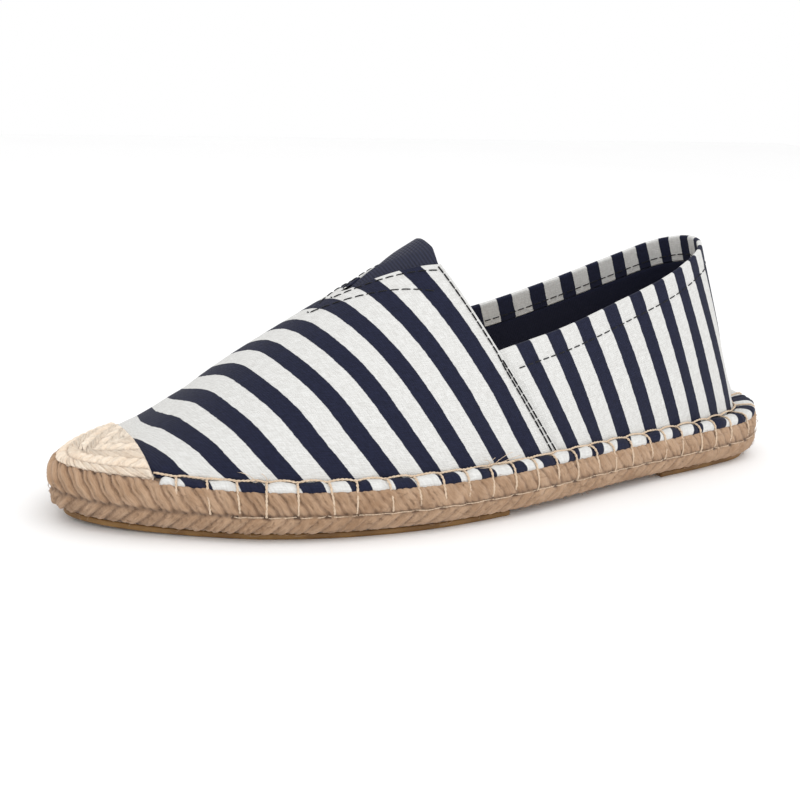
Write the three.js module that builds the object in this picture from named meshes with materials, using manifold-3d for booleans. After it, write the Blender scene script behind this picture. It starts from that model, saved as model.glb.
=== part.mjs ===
// Espadrille, left shoe: striped canvas upper with an elastic gore, braided jute sole and toe guard,
// insole and a two-piece rubber outsole. Millimetres, +X towards the toe, +Y to the wearer's left
// (the outer side of the foot), +Z up, origin at the middle of the footprint on the floor.
//
// One last shapes every piece. Its sections are numbered round the shoe: 0 is the toe tip, the
// numbers rise along the outer side to the back of the heel and fall along the inner side, as
// negative numbers, so a section number u with any fraction is one place on the closed outline.

import * as THREE from 'three';
import { mergeVertices } from 'three/addons/utils/BufferGeometryUtils.js';
import Module from 'manifold-3d';

const wasm = await Module();
wasm.setup();

// ---- driving dimensions ----------------------------------------------------------------------

const LENGTH = 255;               // jute sole, back of heel to toe tip
const RUBBER_THICKNESS = 1.8;
const JUTE_THICKNESS = 14.1;
const INSOLE_THICKNESS = 2;
const CLOTH_WALL = 1.6;           // canvas with its lining
const GORE_WALL = 1.3;            // elastic webbing
const GAP = 0.3;                  // between neighbouring pieces

const TOE_SPRING = 2;             // rise of the toe tip
const TOE_SPRING_START = 203;     // station where the toe starts to rise
const HEEL_SPRING = 2.2;          // rise of the back edge of the heel
const HEEL_SPRING_START = 20;

const FOREFOOT_RUBBER = [0, 7.15];   // section numbers that the front outsole covers
const HEEL_RUBBER = [10.05, 14];     // and the heel outsole
const RUBBER_INSET = 3;              // from the jute sole's widest outline

const JUNCTION_SHARE = 0.4;       // where the collar leaves the vamp's last rib, from foot to ridge
const GUARD_SECTION = 2.55;       // the toe guard's rear edge on the ridge
const GUARD_EDGE_LEAN = 4;         // degrees, how far that edge runs back down the sides
const NOTCH_LENGTH = 29;          // V notch of the gore, along the ridge
const NOTCH_HALF_WIDTH = 10.5;    // at the throat

// Footprint of the jute sole, a row for each section. x is the station from the back of the heel,
// lateral and medial the distance of the edge from the centre line, ledge the width of sole outside
// the foot of the upper, insole the distance from the edge to the insole.
const OUTLINE = [
  { name: 'toe tip',       x: LENGTH, lateral: 0,  medial: 0,    ledge: 8.8, insole: 22 },
  { name: 'toe corner',    x: 250,  lateral: 10.5, medial: 13,   ledge: 7.4, insole: 18.5 },
  { name: 'toe',           x: 238,  lateral: 20.5, medial: 26.5, ledge: 4.6, insole: 12.5 },
  { name: 'toe box',       x: 220,  lateral: 31,   medial: 36.5, ledge: 3.6, insole: 8.6 },
  { name: 'little toe',    x: 202,  lateral: 39.5, medial: 41,   ledge: 3.5, insole: 6.8 },
  { name: 'ball',          x: 180,  lateral: 45.5, medial: 42,   ledge: 3.5, insole: 6.6 },
  { name: 'behind ball',   x: 154,  lateral: 48,   medial: 39,   ledge: 3.5, insole: 6.6 },
  { name: 'waist',         x: 128,  lateral: 46,   medial: 35,   ledge: 3.5, insole: 6.8 },
  { name: 'seam',          x: 104,  lateral: 41.3, medial: 32,   ledge: 3.5, insole: 6.8 },
  { name: 'front quarter', x: 80,   lateral: 36,   medial: 30,   ledge: 3.5, insole: 6.4 },
  { name: 'quarter',       x: 56,   lateral: 31.2, medial: 29,   ledge: 3.8, insole: 6.6 },
  { name: 'heel side',     x: 33,   lateral: 27,   medial: 27.4, ledge: 4.9, insole: 7.8 },
  { name: 'heel corner',   x: 12.5, lateral: 21.4, medial: 21.8, ledge: 7.4, insole: 10.4 },
  { name: 'heel round',    x: 3.2,  lateral: 12.3, medial: 12.7, ledge: 9.2, insole: 12.4 },
  { name: 'heel back',     x: 0,    lateral: -0.2, medial: 0.2,  ledge: 9.6, insole: 12.8 },
];

// Vamp, from the toe tip to the seam: each section's rib rises from the foot line to the ridge. Its
// first handle rises by a share of the height, follows the rib's slant by a share and leans in by
// lean; its last handle reaches out from the ridge by a share of the width. Pairs are the outer and
// the inner side.
const VAMP = [
  { name: 'toe tip',     ridge: [239.5, 0, 21],   rise: 0.62, slant: 0,   lean: [-0.3, -0.3], reach: [0.55, 0.55] },
  { name: 'toe corner',  ridge: [239.2, 0, 21],   rise: 0.62, slant: 0.1, lean: [-0.3, -0.3], reach: [0.55, 0.55] },
  { name: 'toe',         ridge: [236.8, 0, 21.5],   rise: 0.58, slant: 0.4, lean: [0, 0],       reach: [0.56, 0.56] },
  { name: 'toe box',     ridge: [227.3, 0, 24.9],   rise: 0.50, slant: 0.8, lean: [0.2, 0],     reach: [0.55, 0.56] },
  { name: 'little toe',  ridge: [213.8, 0, 34.1],   rise: 0.45, slant: 1,   lean: [0.8, 0.4],   reach: [0.53, 0.54] },
  { name: 'ball',        ridge: [197.5, 0.2, 45.9], rise: 0.42, slant: 1,   lean: [1.5, 0.4],   reach: [0.50, 0.52] },
  { name: 'behind ball', ridge: [178.5, 0.8, 57.5], rise: 0.40, slant: 1,   lean: [2.2, 0.2],   reach: [0.48, 0.52] },
  { name: 'waist',       ridge: [158.5, 1.6, 68.9], rise: 0.39, slant: 1,   lean: [2.8, -0.4],  reach: [0.46, 0.52] },
  { name: 'seam',        ridge: [140.5, 2.4, 79.4], rise: 0.39, slant: 1,   lean: [3, -0.8],    reach: [0.42, 0.50] },
];

// Toe guard, sections as the vamp's: its own foot line on the sole and its own ridge, a jute
// thickness outside the vamp.
const GUARD = [
  { name: 'toe tip',    ledge: 0.6, ridge: [246, 0, 20.5], rise: 0.72, slant: 0,   lean: [-0.4, -0.4], reach: [0.56, 0.56] },
  { name: 'toe corner', ledge: 0.6, ridge: [245.5, 0, 20.6], rise: 0.72, slant: 0,   lean: [-0.4, -0.4], reach: [0.54, 0.54] },
  { name: 'toe',        ledge: 1.2, ridge: [240, 0, 21.7],   rise: 0.60, slant: 0.3, lean: [-0.2, -0.2], reach: [0.52, 0.52] },
  { name: 'toe box',    ledge: 2,   ridge: [228.3, 0, 26.1], rise: 0.52, slant: 0.8, lean: [0, 0],       reach: [0.56, 0.56] },
  { name: 'little toe', ledge: 2.2, ridge: [214.7, 0, 35.3], rise: 0.47, slant: 1,   lean: [0.6, 0.2],   reach: [0.54, 0.55] },
];

// Quarters, from behind the seam to the heel: each rib rises from the foot line to the collar.
// low and high are how far the wall stands out from straight at one and two thirds of its height.
const QUARTER = [
  { name: 'front quarter', collarX: 98,   collarZ: 54.3, lateral: 24.4, medial: 22.6, low: 1.6, high: 1.2 },
  { name: 'quarter',       collarX: 75,   collarZ: 60.9, lateral: 21,   medial: 21.6, low: 1.8, high: 1.0 },
  { name: 'heel side',     collarX: 53.5, collarZ: 68.3, lateral: 18.6, medial: 19.4, low: 1.8, high: 0.8 },
  { name: 'heel corner',   collarX: 38.2, collarZ: 74.7, lateral: 13.6, medial: 14.6, low: 1.4, high: 0.4 },
  { name: 'heel round',    collarX: 31.3, collarZ: 77.7, lateral: 6.6,  medial: 7.6,  low: 1.2, high: 0.2 },
  { name: 'heel back',     collarX: 29.3, collarZ: 78.5, lateral: -0.5, medial: 0.5,  low: 1.2, high: 0.2 },
];

// Side of the jute sole from the floor side up: inset from the outline, share of the thickness.
const JUTE_SIDE = [
  { name: 'lower edge', inset: 2.8, share: 0 },
  { name: 'lower side', inset: 0.8, share: 0.16 },
  { name: 'widest',     inset: 0,   share: 0.42 },
  { name: 'upper side', inset: 0.4, share: 0.74 },
  { name: 'shoulder',   inset: 1.2, share: 0.92 },
  { name: 'upper edge', inset: 2.6, share: 1 },
];

const STEPS_PER_SECTION = 3;      // mesh steps between two sections, round the shoe
const ROWS_TO_COLLAR = 6;         // mesh rows up the wall, foot to collar
const ROWS_TO_RIDGE = 7;          // and from there on to the ridge

const HALF_TURN = OUTLINE.length - 1;         // section number of the heel back
const FULL_TURN = 2 * HALF_TURN;
const SEAM = VAMP.length - 1;                 // section number of the seam

// ---- curves of the last ----------------------------------------------------------------------

// Smooth curve from the value b to the value c, with a before them and d beyond.
const smooth = (a, b, c, d, t) =>
  0.5 * (2 * b + (c - a) * t + (2 * a - 5 * b + 4 * c - d) * t ** 2 + (3 * (b - c) + d - a) * t ** 3);

const smoothPoint = (points, t) => new THREE.Vector3(
  smooth(...points.map((p) => p.x), t),
  smooth(...points.map((p) => p.y), t),
  smooth(...points.map((p) => p.z), t),
);

const rise = (x) =>
  TOE_SPRING * Math.max(0, (x - TOE_SPRING_START) / (LENGTH - TOE_SPRING_START)) ** 2
  + HEEL_SPRING * Math.max(0, 1 - x / HEEL_SPRING_START) ** 2;
const juteBottom = (x) => RUBBER_THICKNESS + GAP + rise(x);
const juteTop = (x) => juteBottom(x) + JUTE_THICKNESS;

// Row and side of a whole section number.
const sectionOf = (number) => {
  const turn = ((number % FULL_TURN) + FULL_TURN) % FULL_TURN;
  const outer = turn <= HALF_TURN;
  return { row: outer ? turn : FULL_TURN - turn, side: outer ? 'lateral' : 'medial', sign: outer ? 1 : -1 };
};

// The outline between two sections, with the table's other columns beside it.
const outlineAt = (u) => {
  const number = Math.floor(u);
  const rows = [-1, 0, 1, 2].map((step) => sectionOf(number + step));
  const column = (value, t) => smooth(...rows.map(value), t);
  const x = ({ row }) => OUTLINE[row].x;
  const y = ({ row, side, sign }) => sign * OUTLINE[row][side];
  const [here, ahead] = [0, 0.01].map((ahead) => new THREE.Vector3(column(x, u - number + ahead), column(y, u - number + ahead), 0));
  return {
    place: here,
    outwards: new THREE.Vector3(ahead.y - here.y, here.x - ahead.x, 0).normalize(),
    ledge: column(({ row }) => OUTLINE[row].ledge, u - number),
    insole: column(({ row }) => OUTLINE[row].insole, u - number),
  };
};

const outlinePoint = (u, inset) => {
  const { place, outwards } = outlineAt(u);
  return place.addScaledVector(outwards, -inset);
};

// The line where a cloth or jute piece meets the top of the sole.
const footPoint = (u, ledge = outlineAt(u).ledge) => {
  const point = outlinePoint(u, ledge);
  return point.setZ(juteTop(point.x) + GAP);
};

// A rib is a cubic curve from the foot line to the ridge or the collar: its first handle is kept as
// a step from the foot, its last handle and its end as places. Rows of a table give the ribs to the
// ridge; past the table's last row the surface goes on straight, as the mirror of the ribs before.
const ridgeRib = (table) => (number) => {
  const past = Math.abs(number) - table.length + 1;
  if (past > 0) {
    const [edge, before] = [0, past].map((back) => ridgeRib(table)(Math.sign(number) * (table.length - 1 - back)));
    const carryOn = (key) => edge[key].clone().multiplyScalar(2).sub(before[key]);
    return { first: carryOn('first'), last: carryOn('last'), end: carryOn('end') };
  }
  const { row, side } = sectionOf(number);
  const { ledge, ridge, rise: riseShare, slant, lean, reach } = table[row];
  const hand = side === 'lateral' ? 0 : 1;
  const [before, after] = [Math.max(row - 1, 0), Math.min(row + 1, table.length - 1)]
    .map((neighbour) => new THREE.Vector3(...table[neighbour].ridge));
  const along = after.sub(before).normalize();
  const foot = footPoint(number, ledge);
  const end = new THREE.Vector3(...ridge);
  const across = end.clone().sub(foot);
  const inwards = new THREE.Vector3(across.x, across.y, 0).normalize();
  const level = along.multiplyScalar(across.dot(along)).setY(across.y);
  const first = new THREE.Vector3(across.x * slant, 0, across.z).multiplyScalar(riseShare);
  return {
    first: first.addScaledVector(inwards, lean[hand]),
    last: end.clone().addScaledVector(level, -reach[hand]),
    end,
  };
};

// The lower part of a rib, up to a share of its length, is a cubic curve too.
const cutRib = (foot, { first, last, end }, share) => {
  const handle = first.clone().add(foot);
  const [a, b, c] = [[foot, handle], [handle, last], [last, end]].map(([p, q]) => p.clone().lerp(q, share));
  const [d, e] = [[a, b], [b, c]].map(([p, q]) => p.clone().lerp(q, share));
  return { first: a.sub(foot), last: d, end: d.clone().lerp(e, share) };
};

const vampRib = ridgeRib(VAMP);
const guardRib = ridgeRib(GUARD);

const quarterRib = (number) => {
  const { row, side, sign } = sectionOf(number);
  const foot = footPoint(number);
  if (row <= SEAM) return cutRib(foot, vampRib(sign * row), JUNCTION_SHARE);
  const { collarX, collarZ, low, high, [side]: halfWidth } = QUARTER[row - SEAM - 1];
  const end = new THREE.Vector3(collarX, sign * halfWidth, collarZ);
  const across = end.clone().sub(foot);
  const { outwards } = outlineAt(number);
  return {
    first: across.clone().divideScalar(3).addScaledVector(outwards, low),
    last: foot.clone().addScaledVector(across, 2 / 3).addScaledVector(outwards, high),
    end,
  };
};

// Point of a surface of ribs at section number u and a share of the rib's length, foot to end.
const ribPoint = (ribOf, u, share, ledge) => {
  const number = Math.floor(u);
  const ribs = [-1, 0, 1, 2].map((step) => ribOf(number + step));
  const [first, last, end] = ['first', 'last', 'end'].map((key) => smoothPoint(ribs.map((rib) => rib[key]), u - number));
  const foot = footPoint(u, ledge);
  return new THREE.CubicBezierCurve3(foot, first.add(foot), last, end).getPoint(share);
};

const guardLedge = (u) => {
  const number = Math.floor(u);
  const ledges = [-1, 0, 1, 2].map((step) => GUARD[Math.min(Math.abs(number + step), GUARD.length - 1)].ledge);
  return smooth(...ledges, u - number);
};

// ---- meshes ----------------------------------------------------------------------------------

const steps = (from, to, count) => Array.from({ length: count + 1 }, (_, i) => from + (to - from) * i / count);

// Triangles between rows of points. Rows run round the shoe from the inner side over the toe, and
// points up the wall, so the faces look outwards.
const sheet = (rows) => {
  const triangles = [];
  for (let i = 0; i + 1 < rows.length; i += 1) {
    for (let k = 0; k + 1 < rows[i].length; k += 1) {
      const [a, b, c, d] = [rows[i][k], rows[i + 1][k], rows[i + 1][k + 1], rows[i][k + 1]];
      triangles.push([a, b, c], [a, c, d]);
    }
  }
  return triangles;
};

const turned = (triangles) => triangles.map(([a, b, c]) => [a, c, b]);

// Triangles of points to an indexed geometry without doubled points or empty triangles.
const weld = (triangles) => {
  const welded = mergeVertices(new THREE.BufferGeometry().setFromPoints(triangles.flat()), 1e-3);
  const index = welded.index.array;
  const kept = [];
  for (let i = 0; i < index.length; i += 3) {
    const [a, b, c] = index.slice(i, i + 3);
    if (a !== b && b !== c && c !== a) kept.push(a, b, c);
  }
  return welded.setIndex(kept);
};

// Edges that only one triangle has, each in that triangle's direction.
const openEdges = (surface) => {
  const index = surface.index.array;
  const edges = new Map();
  for (let i = 0; i < index.length; i += 3) {
    for (let k = 0; k < 3; k += 1) {
      const [a, b] = [index[i + k], index[i + (k + 1) % 3]];
      if (!edges.delete(`${b},${a}`)) edges.set(`${a},${b}`, [a, b]);
    }
  }
  return [...edges.values()];
};

// Points of a surface moved out along its normals. Points on the foot line stay on the sole.
const offsetPoints = (surface, distance) => {
  surface.computeVertexNormals();
  const { position, normal } = surface.attributes;
  return Array.from({ length: position.count }, (_, i) => {
    const point = new THREE.Vector3().fromBufferAttribute(position, i);
    const outwards = new THREE.Vector3().fromBufferAttribute(normal, i);
    const onSole = Math.abs(point.z - juteTop(point.x) - GAP) < 1e-3;
    if (!onSole) return point.addScaledVector(outwards, distance);
    point.addScaledVector(outwards.setZ(0).normalize(), distance);
    return point.setZ(juteTop(point.x) + GAP);
  });
};

// Closed wall between a surface moved out by outer and the same surface moved out by inner.
const wall = (surface, outer, inner) => {
  const [outside, inside] = [outer, inner].map((distance) => offsetPoints(surface, distance));
  const index = surface.index.array;
  const faces = (points) => Array.from({ length: index.length / 3 }, (_, i) => [0, 1, 2].map((k) => points[index[3 * i + k]]));
  const rim = openEdges(surface).flatMap(([a, b]) => [
    [outside[b], outside[a], inside[a]],
    [outside[b], inside[a], inside[b]],
  ]);
  return weld([...faces(outside), ...turned(faces(inside)), ...rim]);
};

// Closed body under a surface moved out by distance, its open edge drawn to one point low inside.
const body = (surface, distance, centre) => {
  const outside = offsetPoints(surface, distance);
  const index = surface.index.array;
  const faces = Array.from({ length: index.length / 3 }, (_, i) => [0, 1, 2].map((k) => outside[index[3 * i + k]]));
  return weld([...faces, ...openEdges(surface).map(([a, b]) => [outside[b], outside[a], centre])]);
};

// Closed slab over a range of sections. Each level is { inset(u), z(x) }, from the floor side up;
// the shoe's two sides are joined straight across at the lowest and the highest level.
const slab = (levels, [from, to]) => {
  const count = Math.round((to - from) * STEPS_PER_SECTION);
  const numbers = steps(from, to, count);
  const edge = (sign) => numbers.map((u) => levels.map(({ inset, z }) => {
    const point = outlinePoint(sign * u, inset(u));
    return point.setZ(z(point.x));
  }));
  const [lateral, medial] = [edge(1), edge(-1)];
  const across = (level) => lateral.map((points, i) => [points[level], medial[i][level]]);
  const end = (i) => levels.map((_, level) => [lateral[i][level], medial[i][level]]);
  return weld([
    ...sheet(lateral),
    ...turned(sheet(medial)),
    ...sheet(across(levels.length - 1)),
    ...turned(sheet(across(0))),
    ...sheet(end(0)),
    ...turned(sheet(end(count))),
  ]);
};

// ---- cutting ---------------------------------------------------------------------------------

const toSolid = (geometry) => {
  const bare = new THREE.BufferGeometry();
  bare.setAttribute('position', geometry.attributes.position);
  bare.setIndex(geometry.index);
  const merged = mergeVertices(bare, 1e-4);
  return new wasm.Manifold(new wasm.Mesh({
    numProp: 3,
    vertProperties: new Float32Array(merged.attributes.position.array),
    triVerts: new Uint32Array(merged.index.array),
  }));
};

const toGeometry = (solid) => {
  const { vertProperties, triVerts } = solid.getMesh();
  const geometry = new THREE.BufferGeometry();
  geometry.setAttribute('position', new THREE.BufferAttribute(vertProperties, 3));
  return geometry.setIndex([...triVerts]);
};

// Moves a shape drawn along the ridge (x towards the toe, y across, z out of the shoe) to its place
// on the ridge of section u, with its z axis leaning towards the toe by lean radians.
const onRidge = (geometry, u, lean) => {
  const place = ribPoint(vampRib, u, 1);
  return geometry.rotateY(lean).translate(place.x, place.y, place.z);
};

const ridgeLean = () => {
  const [from, to] = [VAMP[SEAM - 1].ridge, VAMP[SEAM].ridge];
  return Math.atan2(to[2] - from[2], from[0] - to[0]);
};

// V that the gore fills, narrowed on every side by clearance.
const notchTool = (clearance) => {
  const behind = 15;
  const deep = 20;
  const high = 8;
  const slope = NOTCH_HALF_WIDTH / NOTCH_LENGTH;
  const tip = NOTCH_LENGTH - clearance * Math.hypot(1, 1 / slope);
  const halfWidth = (tip + behind) * slope;
  const outline = new THREE.Shape([[-behind, -halfWidth], [tip, 0], [-behind, halfWidth]].map(([x, y]) => new THREE.Vector2(x, y)));
  const prism = new THREE.ExtrudeGeometry(outline, { depth: deep + high, bevelEnabled: false }).translate(0, 0, -deep);
  return onRidge(mergeVertices(prism.deleteAttribute('uv').deleteAttribute('normal')), SEAM, ridgeLean());
};

// Everything in front of the toe guard's rear edge.
const guardTool = () => {
  const size = 120;
  const box = new THREE.BoxGeometry(size, size, size).translate(size / 2, 0, 0);
  return onRidge(mergeVertices(box.deleteAttribute('uv').deleteAttribute('normal')), GUARD_SECTION, THREE.MathUtils.degToRad(GUARD_EDGE_LEAN));
};

// ---- pieces ----------------------------------------------------------------------------------

const collarShares = steps(0, 1, ROWS_TO_COLLAR);
const vampShares = [
  ...collarShares.map((share) => share * JUNCTION_SHARE),
  ...steps(JUNCTION_SHARE, 1, ROWS_TO_RIDGE).slice(1),
];
const vampNumbers = steps(-SEAM, SEAM, 2 * SEAM * STEPS_PER_SECTION);
const quarterNumbers = steps(SEAM, FULL_TURN - SEAM, (FULL_TURN - 2 * SEAM) * STEPS_PER_SECTION);
const vampSheet = sheet(vampNumbers.map((u) => vampShares.map((share) => ribPoint(vampRib, u, share))));
const quarterSheet = sheet(quarterNumbers.map((u) => collarShares.map((share) => ribPoint(quarterRib, u, share))));

const upper = () => {
  const shell = toSolid(wall(weld([...vampSheet, ...quarterSheet]), 0, -CLOTH_WALL));
  return toGeometry(shell.subtract(toSolid(notchTool(0))));
};

const gore = () => {
  const shell = toSolid(wall(weld(vampSheet), 0, -GORE_WALL));
  return toGeometry(shell.intersect(toSolid(notchTool(GAP))));
};

const toeGuard = () => {
  const numbers = steps(1 - GUARD.length, GUARD.length - 1, 2 * (GUARD.length - 1) * STEPS_PER_SECTION);
  const rows = numbers.map((u) => vampShares.map((share) => ribPoint(guardRib, u, share, guardLedge(u))));
  const [rear, front] = [rows[0][0], ribPoint(vampRib, 0, 0)];
  const outer = toSolid(body(weld(sheet(rows)), 0, new THREE.Vector3(rear.x, 0, rear.z)));
  const inner = toSolid(body(weld(vampSheet), GAP, new THREE.Vector3(front.x - LENGTH / 2, 0, -front.z)));
  return toGeometry(outer.subtract(inner).intersect(toSolid(guardTool())));
};

const juteSole = () => slab(
  JUTE_SIDE.map(({ inset, share }) => ({ inset: () => inset, z: (x) => juteBottom(x) + share * JUTE_THICKNESS })),
  [0, HALF_TURN],
);

const insole = () => {
  const inset = (u) => outlineAt(u).insole;
  const bottom = (x) => juteTop(x) + GAP;
  return slab([{ inset, z: bottom }, { inset, z: (x) => bottom(x) + INSOLE_THICKNESS }], [0, HALF_TURN]);
};

const outsole = (range) => {
  const inset = () => RUBBER_INSET;
  return slab([{ inset, z: rise }, { inset, z: (x) => rise(x) + RUBBER_THICKNESS }], range);
};

const PIECES = [
  { name: 'outsole_forefoot', geometry: outsole(FOREFOOT_RUBBER), color: 0xa57d41, roughness: 0.7 },
  { name: 'outsole_heel',     geometry: outsole(HEEL_RUBBER),     color: 0xa57d41, roughness: 0.7 },
  { name: 'midsole',          geometry: juteSole(),               color: 0xc8aa8c, roughness: 0.95 },
  { name: 'insole',           geometry: insole(),                 color: 0xd9cbb2, roughness: 0.9 },
  { name: 'upper',            geometry: upper(),                  color: 0xe6e6e4, roughness: 0.9 },
  { name: 'gore',             geometry: gore(),                   color: 0x262a42, roughness: 0.85 },
  { name: 'toe_guard',        geometry: toeGuard(),               color: 0xebd7be, roughness: 0.95 },
];

const shoe = new THREE.Group();
for (const { name, geometry, color, roughness } of PIECES) {
  geometry.computeVertexNormals();
  const mesh = new THREE.Mesh(geometry, new THREE.MeshStandardMaterial({ color, roughness, metalness: 0 }));
  mesh.name = name;
  shoe.add(mesh);
}

// The origin is under the middle of the shoe, on the floor.
const middle = new THREE.Box3().setFromObject(shoe).getCenter(new THREE.Vector3());
shoe.position.set(-middle.x, -middle.y, 0);

export default shoe;
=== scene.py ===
"""Espadrille, left shoe: striped canvas, navy gore, braided jute and gum rubber on its CAD frame.

Millimetres inside the script, metres in the meshes. The last is the frame's own: sections are
numbered round the shoe, 0 at the toe tip, rising along the outer side to the back of the heel and
falling along the inner side as negative numbers.
"""

import bmesh
import bpy
import numpy as np
from bpy.props import FloatProperty, FloatVectorProperty, PointerProperty
from mathutils import Matrix, Vector


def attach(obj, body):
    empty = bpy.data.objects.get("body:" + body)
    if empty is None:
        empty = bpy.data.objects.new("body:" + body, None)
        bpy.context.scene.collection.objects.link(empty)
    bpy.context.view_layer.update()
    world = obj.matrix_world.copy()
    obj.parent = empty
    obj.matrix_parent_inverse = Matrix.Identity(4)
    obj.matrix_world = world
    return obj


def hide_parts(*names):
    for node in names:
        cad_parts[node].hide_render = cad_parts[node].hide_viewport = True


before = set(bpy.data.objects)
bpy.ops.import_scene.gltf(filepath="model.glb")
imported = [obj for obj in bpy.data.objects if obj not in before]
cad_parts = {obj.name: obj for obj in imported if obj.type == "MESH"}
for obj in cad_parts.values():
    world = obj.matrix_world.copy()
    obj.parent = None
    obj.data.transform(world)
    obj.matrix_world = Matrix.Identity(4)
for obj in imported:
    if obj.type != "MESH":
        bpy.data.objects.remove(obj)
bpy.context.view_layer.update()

bl_info = {
    "name": "Espadrille",
    "version": (1, 0, 0),
    "blender": (4, 5, 0),
    "location": "3D View > Sidebar > Espadrille",
    "description": "Cloth, jute, rubber and stitching of a striped slip-on shoe",
    "category": "Object",
}

MM = 0.001

# ---- the last --------------------------------------------------------------------------------

LENGTH = 255.0
RUBBER, RUBBER_INSET = 1.8, 3.0
JUTE = 14.1
GAP = 0.3
TOE_SPRING, TOE_SPRING_START = 2.0, 203.0
HEEL_SPRING, HEEL_SPRING_START = 2.2, 20.0
JUNCTION_SHARE = 0.4
NOTCH_LENGTH, NOTCH_HALF_WIDTH = 29.0, 10.5
GUARD_SECTION, GUARD_EDGE_LEAN = 2.55, 4.0

# x from the back of the heel, distance of the edge from the centre line on the outer and the
# inner side, width of sole outside the upper, and width outside the insole.
OUTLINE = np.array([
    # x,    lateral, medial, ledge, insole
    (255,   0,     0,     8.8,  22),
    (250,   10.5,  13,    7.4,  18.5),
    (238,   20.5,  26.5,  4.6,  12.5),
    (220,   31,    36.5,  3.6,  8.6),
    (202,   39.5,  41,    3.5,  6.8),
    (180,   45.5,  42,    3.5,  6.6),
    (154,   48,    39,    3.5,  6.6),
    (128,   46,    35,    3.5,  6.8),
    (104,   41.3,  32,    3.5,  6.8),
    (80,    36,    30,    3.5,  6.4),
    (56,    31.2,  29,    3.8,  6.6),
    (33,    27,    27.4,  4.9,  7.8),
    (12.5,  21.4,  21.8,  7.4,  10.4),
    (3.2,   12.3,  12.7,  9.2,  12.4),
    (0,     -0.2,  0.2,   9.6,  12.8),
])

# Ribs of the vamp from the toe tip to the seam: the ridge they climb to, how steeply and how far
# from upright they start, and for each side how far they lean out and reach back from the ridge.
VAMP = np.array([
    # ridge x, y, z,     rise, slant, lean out, in, reach out, in
    (239.5, 0,   21.0,   0.62, 0,    -0.3, -0.3,  0.55, 0.55),
    (239.2, 0,   21.0,   0.62, 0.1,  -0.3, -0.3,  0.55, 0.55),
    (236.8, 0,   21.5,   0.58, 0.4,  0,    0,     0.56, 0.56),
    (227.3, 0,   24.9,   0.50, 0.8,  0.2,  0,     0.55, 0.56),
    (213.8, 0,   34.1,   0.45, 1,    0.8,  0.4,   0.53, 0.54),
    (197.5, 0.2, 45.9,   0.42, 1,    1.5,  0.4,   0.50, 0.52),
    (178.5, 0.8, 57.5,   0.40, 1,    2.2,  0.2,   0.48, 0.52),
    (158.5, 1.6, 68.9,   0.39, 1,    2.8,  -0.4,  0.46, 0.52),
    (140.5, 2.4, 79.4,   0.39, 1,    3,    -0.8,  0.42, 0.50),
])

# Ribs of the toe guard, in the same columns, and how far its foot line stands inside the
# sole's outline.
GUARD = np.array([
    (246,   0, 20.5,     0.72, 0,    -0.4, -0.4,  0.56, 0.56),
    (245.5, 0, 20.6,     0.72, 0,    -0.4, -0.4,  0.54, 0.54),
    (240,   0, 21.7,     0.60, 0.3,  -0.2, -0.2,  0.52, 0.52),
    (228.3, 0, 26.1,     0.52, 0.8,  0,    0,     0.56, 0.56),
    (214.7, 0, 35.3,     0.47, 1,    0.6,  0.2,   0.54, 0.55),
])
GUARD_LEDGE = np.array([0.6, 0.6, 1.2, 2.0, 2.2])

# Ribs of the quarters, from behind the seam to the back of the heel: the collar's place, its
# distance from the centre line on each side, and how far the lower and upper handles stand out.
QUARTER = np.array([
    # collar x, z,     lateral, medial, low, high
    (98,   54.3, 24.4, 22.6, 1.6, 1.2),
    (75,   60.9, 21,   21.6, 1.8, 1.0),
    (53.5, 68.3, 18.6, 19.4, 1.8, 0.8),
    (38.2, 74.7, 13.6, 14.6, 1.4, 0.4),
    (31.3, 77.7, 6.6,  7.6,  1.2, 0.2),
    (29.3, 78.5, -0.5, 0.5,  1.2, 0.2),
])

HALF_TURN = len(OUTLINE) - 1
FULL_TURN = 2 * HALF_TURN
SEAM = len(VAMP) - 1


def smooth(a, b, c, d, t):
    """Smooth curve from b to c: the cubic whose slopes at b and c are half of c - a and d - b."""
    square, cube = 2 * a - 5 * b + 4 * c - d, 3 * (b - c) + d - a
    return 0.5 * (2 * b + (c - a) * t + square * t**2 + cube * t**3)


def through(table, first, u):
    """Smooth curve through the rows of a table, whose first row belongs to section number first."""
    whole = np.floor(u).astype(int)
    rows = [table[whole + step - first] for step in (-1, 0, 1, 2)]
    t = (u - whole).reshape(u.shape + (1,) * (table.ndim - 1))
    return smooth(*rows, t)


def eased(t):
    """0 below 0, 1 above 1, and the smooth step 3 t squared less 2 t cubed between."""
    t = np.clip(t, 0, 1)
    return t * t * (3 - 2 * t)


def unit(vectors):
    """Vectors divided by their lengths."""
    return vectors / np.maximum(np.linalg.norm(vectors, axis=-1, keepdims=True), 1e-9)


def rise(x):
    """Spring of the sole: each end lifts by the square of the way past its starting line."""
    toe = np.maximum(0, (x - TOE_SPRING_START) / (LENGTH - TOE_SPRING_START))
    heel = np.maximum(0, 1 - x / HEEL_SPRING_START)
    return TOE_SPRING * toe**2 + HEEL_SPRING * heel**2


def jute_bottom(x):
    """Height of the jute's underside, which follows the spring over the rubber."""
    return RUBBER + GAP + rise(x)


def jute_top(x):
    """Height of the jute's upper face."""
    return jute_bottom(x) + JUTE


def around(number):
    """Row of the tables and side, 1 outer or -1 inner, of a whole section number."""
    turn = number % FULL_TURN
    return (turn, 1) if turn <= HALF_TURN else (FULL_TURN - turn, -1)


NUMBERS = range(-FULL_TURN - 2, FULL_TURN + 4)
TURN = np.array([
    (OUTLINE[row, 0], side * OUTLINE[row, 1 if side > 0 else 2], OUTLINE[row, 3], OUTLINE[row, 4])
    for row, side in map(around, NUMBERS)
])


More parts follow.
